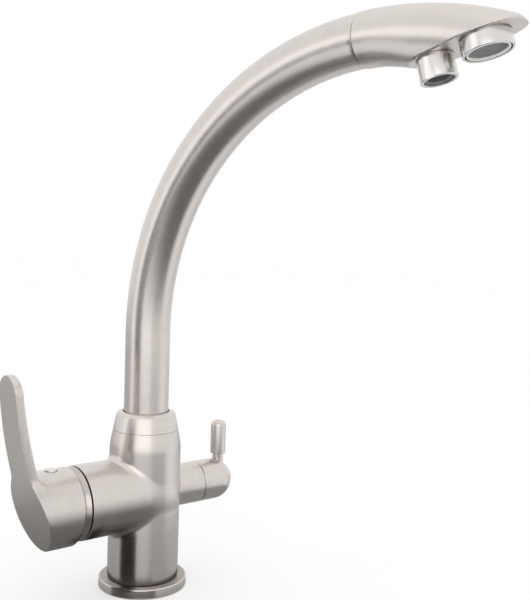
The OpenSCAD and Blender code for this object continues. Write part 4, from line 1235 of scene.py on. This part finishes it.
class TAP_OT_inside(bpy.types.Operator):
    """Finish the inner parts that keep their solid's shape"""
    bl_idname = "tap.inside"
    bl_label = "Inner parts"

    def execute(self, context):
        for kind, names in KEPT_NODES.items():
            material = finish_for(kind, context.scene.tap_finishes)
            for name in names:
                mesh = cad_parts[name].data
                mesh.materials.clear()
                mesh.materials.append(material)
        return {"FINISHED"}


class TAP_OT_stage(bpy.types.Operator):
    """Set up the floor, the light and the camera"""
    bl_idname = "tap.stage"
    bl_label = "Stage"

    def camera(self, scene, stage):
        """The camera, turned, dipped and rolled."""
        turn, dip, roll = stage.camera_turn, -stage.camera_dip, stage.camera_roll
        ahead = Vector((math.sin(turn) * math.cos(dip), math.cos(turn) * math.cos(dip), math.sin(dip)))
        level = Vector((math.cos(turn), -math.sin(turn), 0))
        upright = level.cross(ahead)
        right = math.cos(roll) * level + math.sin(roll) * upright
        up = math.cos(roll) * upright - math.sin(roll) * level
        lens = bpy.data.cameras.new("camera")
        lens.sensor_fit = "AUTO"
        lens.sensor_width = 36.0
        lens.lens = stage.camera_lens
        lens.clip_start = 0.01
        camera = bpy.data.objects.new("camera", lens)
        turned_to = Matrix((right, up, -ahead)).transposed().to_4x4()
        camera.matrix_world = Matrix.Translation(stage.camera_place) @ turned_to
        scene.collection.objects.link(camera)
        scene.camera = camera

    def seen(self, paint):
        """1 for rays from the camera, from gloss and through glass."""
        path = paint.add("ShaderNodeLightPath", {}, {}, "Is Camera Ray")
        gloss = paint.add("ShaderNodeLightPath", {}, {}, "Is Glossy Ray")
        glass = paint.add("ShaderNodeLightPath", {}, {}, "Is Transmission Ray")
        return (path + gloss + glass).clamp()

    def sky(self, scene):
        """White all round for the camera and the gloss, and a little softer as light."""
        paint = Paint("studio", "worlds")
        shine = paint.add("ShaderNodeBackground", {}, {"Color": WHITE, "Strength": 1.0})
        soft = paint.add("ShaderNodeBackground", {}, {"Color": WHITE, "Strength": scene.tap_stage.daylight})
        scene.world = paint.surface(paint.mixed(self.seen(paint), soft, shine), "ShaderNodeOutputWorld")

    def floor(self, stage):
        """A white floor, lit and a little bright by itself."""
        bm = bmesh.new()
        bmesh.ops.create_grid(bm, x_segments=1, y_segments=1, size=8.0)
        floor = as_object("floor", bm)
        paint = Paint("floor_white")
        lit = paint.add("ShaderNodeBsdfDiffuse", {}, {"Color": tuple(stage.floor) + (1,)})
        mix = paint.mixed(self.seen(paint) * stage.floor_glow, lit, paint.glow(1.0))
        floor.data.materials.append(paint.surface(mix))

    def gloss_only(self, name, bm, material):
        """A card that only the metal's gloss sees."""
        card = as_object(name, bm)
        card.data.materials.append(material)
        card.visible_camera = False
        card.visible_diffuse = False
        card.visible_shadow = False
        card.visible_transmission = False

    def fan(self, name, start, end, first, last, material):
        """A card round the tap, between two (radius, height) edges and two angles from the camera's side."""
        bm = bmesh.new()
        inner = bm.verts.new((0, -start[0], start[1]))
        outer = bm.verts.new((0, -end[0], end[1]))
        edge = bm.edges.new((inner, outer))
        camera_turn = bpy.context.scene.tap_stage.camera_turn
        turn = Matrix.Rotation(math.radians(first) - camera_turn, 3, "Z")
        bmesh.ops.rotate(bm, verts=bm.verts, cent=(0, 0, 0), matrix=turn)
        bmesh.ops.spin(bm, geom=[inner, outer, edge], cent=(0, 0, 0), axis=(0, 0, 1), dvec=(0, 0, 0),
                       angle=math.radians(last - first), steps=24, use_merge=False)
        merge(bm)
        self.gloss_only(name, bm, material)

    def plain_glow(self, name, level):
        """A material of one even brightness."""
        paint = Paint(name)
        return paint.surface(paint.glow(level))

    def dark_polish(self, name, level):
        """Dark from above and a mirror at a low angle, as a polished table is."""
        paint = Paint(name)
        slant = paint.add("ShaderNodeLayerWeight", {}, {"Blend": 0.5}, "Facing")
        mirror = paint.add("ShaderNodeMapRange", {"interpolation_type": "SMOOTHSTEP"}, {
            "Value": slant, "From Min": 0.45, "From Max": 0.85, "To Min": 0.0, "To Max": 1.0})
        gloss = paint.add("ShaderNodeBsdfGlossy", {}, {"Color": (0.68, 0.68, 0.68, 1), "Roughness": 0.1})
        return paint.surface(paint.mixed(mirror, paint.glow(level), gloss))

    def shaded_from_above(self, name, level):
        """Dark from above and a grey filter from below, for the narrow step over the flange."""
        paint = Paint(name)
        below = paint.add("ShaderNodeNewGeometry", {}, {}, "Backfacing")
        dimmed = paint.add("ShaderNodeBsdfTransparent", {}, {"Color": (0.56, 0.56, 0.54, 1)})
        return paint.surface(paint.mixed(below, paint.glow(level, (1, 0.9, 0.84, 1)), dimmed))

    def floor_cards(self):
        """Cards over the flange, polished ones under the tap, dark streaks in front and pale ones behind."""
        shadow = self.shaded_from_above("shadow_card", level=0.06)
        dark = self.dark_polish("dark_card", level=0.17)
        dim = self.dark_polish("dim_card", level=0.32)
        shade_under = self.dark_polish("shade_card", level=0.16)
        black = self.plain_glow("black_card", level=0.015)
        grey = self.plain_glow("grey_card", level=0.52)
        pale = self.plain_glow("pale_card", level=0.75)
        over_flange, step_in, step_out = 6.8 * MM, 22.8 * MM, 27.7 * MM
        behind, under, above = 0.3 * MM, 0.6 * MM, 0.9 * MM
        near, far, streaks = 0.17, 0.9, 40 * MM
        self.fan("flange_card", (step_in, over_flange), (step_out, over_flange), -150, 150, shadow)
        self.fan("front_card", (0, under), (far, under), -38, 76, dark)
        self.fan("right_card", (0, under), (near, under), 76, 165, dim)
        self.fan("left_card", (0, under), (near, under), 165, 322, shade_under)
        self.fan("streak_card", (streaks, above), (streaks, 37 * MM), -50, -8, black)
        self.fan("rim_card", (streaks, above), (streaks, 4.5 * MM), -8, 30, black)
        self.fan("back_card", (0, behind), (2.4, behind), 165, 275, grey)
        self.fan("back_right_card", (0, behind), (1.2, behind), 118, 165, pale)

    def card(self, name, centre, size, level):
        """An upright card that faces the tap."""
        bm = bmesh.new()
        bmesh.ops.create_grid(bm, x_segments=1, y_segments=1, size=0.5)
        bmesh.ops.scale(bm, verts=bm.verts, vec=(size[0], size[1], 1))
        centre = Vector(centre)
        facing = Vector((-centre.x, -centre.y, 0)).to_track_quat("Z", "Y").to_matrix().to_4x4()
        bm.transform(Matrix.Translation(centre) @ facing)
        self.gloss_only(name, bm, self.plain_glow(name, level))

    def lamp(self, scene, name, centre, aim, size, power):
        """A lamp with a broad face that aims at a point."""
        light = bpy.data.lights.new(name, "AREA")
        light.shape = "RECTANGLE"
        light.size, light.size_y = size
        light.energy = power
        lamp = bpy.data.objects.new(name, light)
        way = Vector(aim) - Vector(centre)
        lamp.matrix_world = Matrix.Translation(centre) @ way.to_track_quat("-Z", "Y").to_matrix().to_4x4()
        scene.collection.objects.link(lamp)

    def execute(self, context):
        scene = context.scene
        stage = scene.tap_stage
        scene.view_settings.view_transform = "Standard"
        self.camera(scene, stage)
        self.sky(scene)
        self.floor(stage)
        turn = stage.camera_turn

        def around(degrees, distance, height):
            """A place round the tap, counted from the camera's side, left is negative."""
            side = math.radians(degrees)
            x = -math.sin(turn) * math.cos(side) + math.cos(turn) * math.sin(side)
            y = -math.cos(turn) * math.cos(side) - math.sin(turn) * math.sin(side)
            return (x * distance, y * distance, height)

        self.floor_cards()
        self.card("dark_strip", around(-46, 0.8, 0.115), size=(0.44, 0.34), level=0.03)
        self.lamp(scene, "front_lamp", around(0, 1.1, 0.34), aim=(0, 0, 0.2), size=(1.1, 0.62), power=1.2)
        self.lamp(scene, "left_lamp", around(-64, 1.2, 0.36), aim=(0, 0, 0.3), size=(0.6, 0.7), power=0.6)
        self.lamp(scene, "overhead_lamp", (0, 0, 1.4), aim=(0, 0, 0), size=(1.2, 1.2), power=0.35)
        return {"FINISHED"}


class TAP_PT_panel(bpy.types.Panel):
    """Lists the tap's pieces"""
    bl_idname = "TAP_PT_panel"
    bl_label = "Kitchen tap"
    bl_space_type = "VIEW_3D"
    bl_region_type = "UI"
    bl_category = "Tap"

    def draw(self, context):
        for operator in OPERATORS:
            self.layout.operator(operator.bl_idname)
        for group in GROUPS:
            values = getattr(context.scene, group)
            box = self.layout.box()
            for name in values.__annotations__:
                box.prop(values, name)


OPERATORS = (TAP_OT_body, TAP_OT_base, TAP_OT_collar, TAP_OT_round_cap, TAP_OT_lever, TAP_OT_plug,
             TAP_OT_filter, TAP_OT_tube, TAP_OT_head, TAP_OT_outlets, TAP_OT_inside, TAP_OT_stage)
GROUPS = {"tap_body": TapBodySizes, "tap_lever": TapLeverSizes, "tap_filter": TapFilterSizes,
          "tap_spout": TapSpoutSizes, "tap_finishes": TapFinishes, "tap_stage": TapStage}


def register():
    for kind in tuple(GROUPS.values()) + OPERATORS + (TAP_PT_panel,):
        bpy.utils.register_class(kind)
    for name, kind in GROUPS.items():
        setattr(bpy.types.Scene, name, bpy.props.PointerProperty(type=kind))


def unregister():
    for name in GROUPS:
        delattr(bpy.types.Scene, name)
    for kind in (TAP_PT_panel,) + OPERATORS[::-1] + tuple(GROUPS.values()):
        bpy.utils.unregister_class(kind)


def main():
    register()
    bpy.ops.tap.body()
    bpy.ops.tap.base()
    bpy.ops.tap.collar()
    bpy.ops.tap.round_cap()
    bpy.ops.tap.lever()
    bpy.ops.tap.plug()
    bpy.ops.tap.filter()
    bpy.ops.tap.tube()
    bpy.ops.tap.head()
    bpy.ops.tap.outlets()
    bpy.ops.tap.inside()
    bpy.ops.tap.stage()


if __name__ == "__main__":
    main()
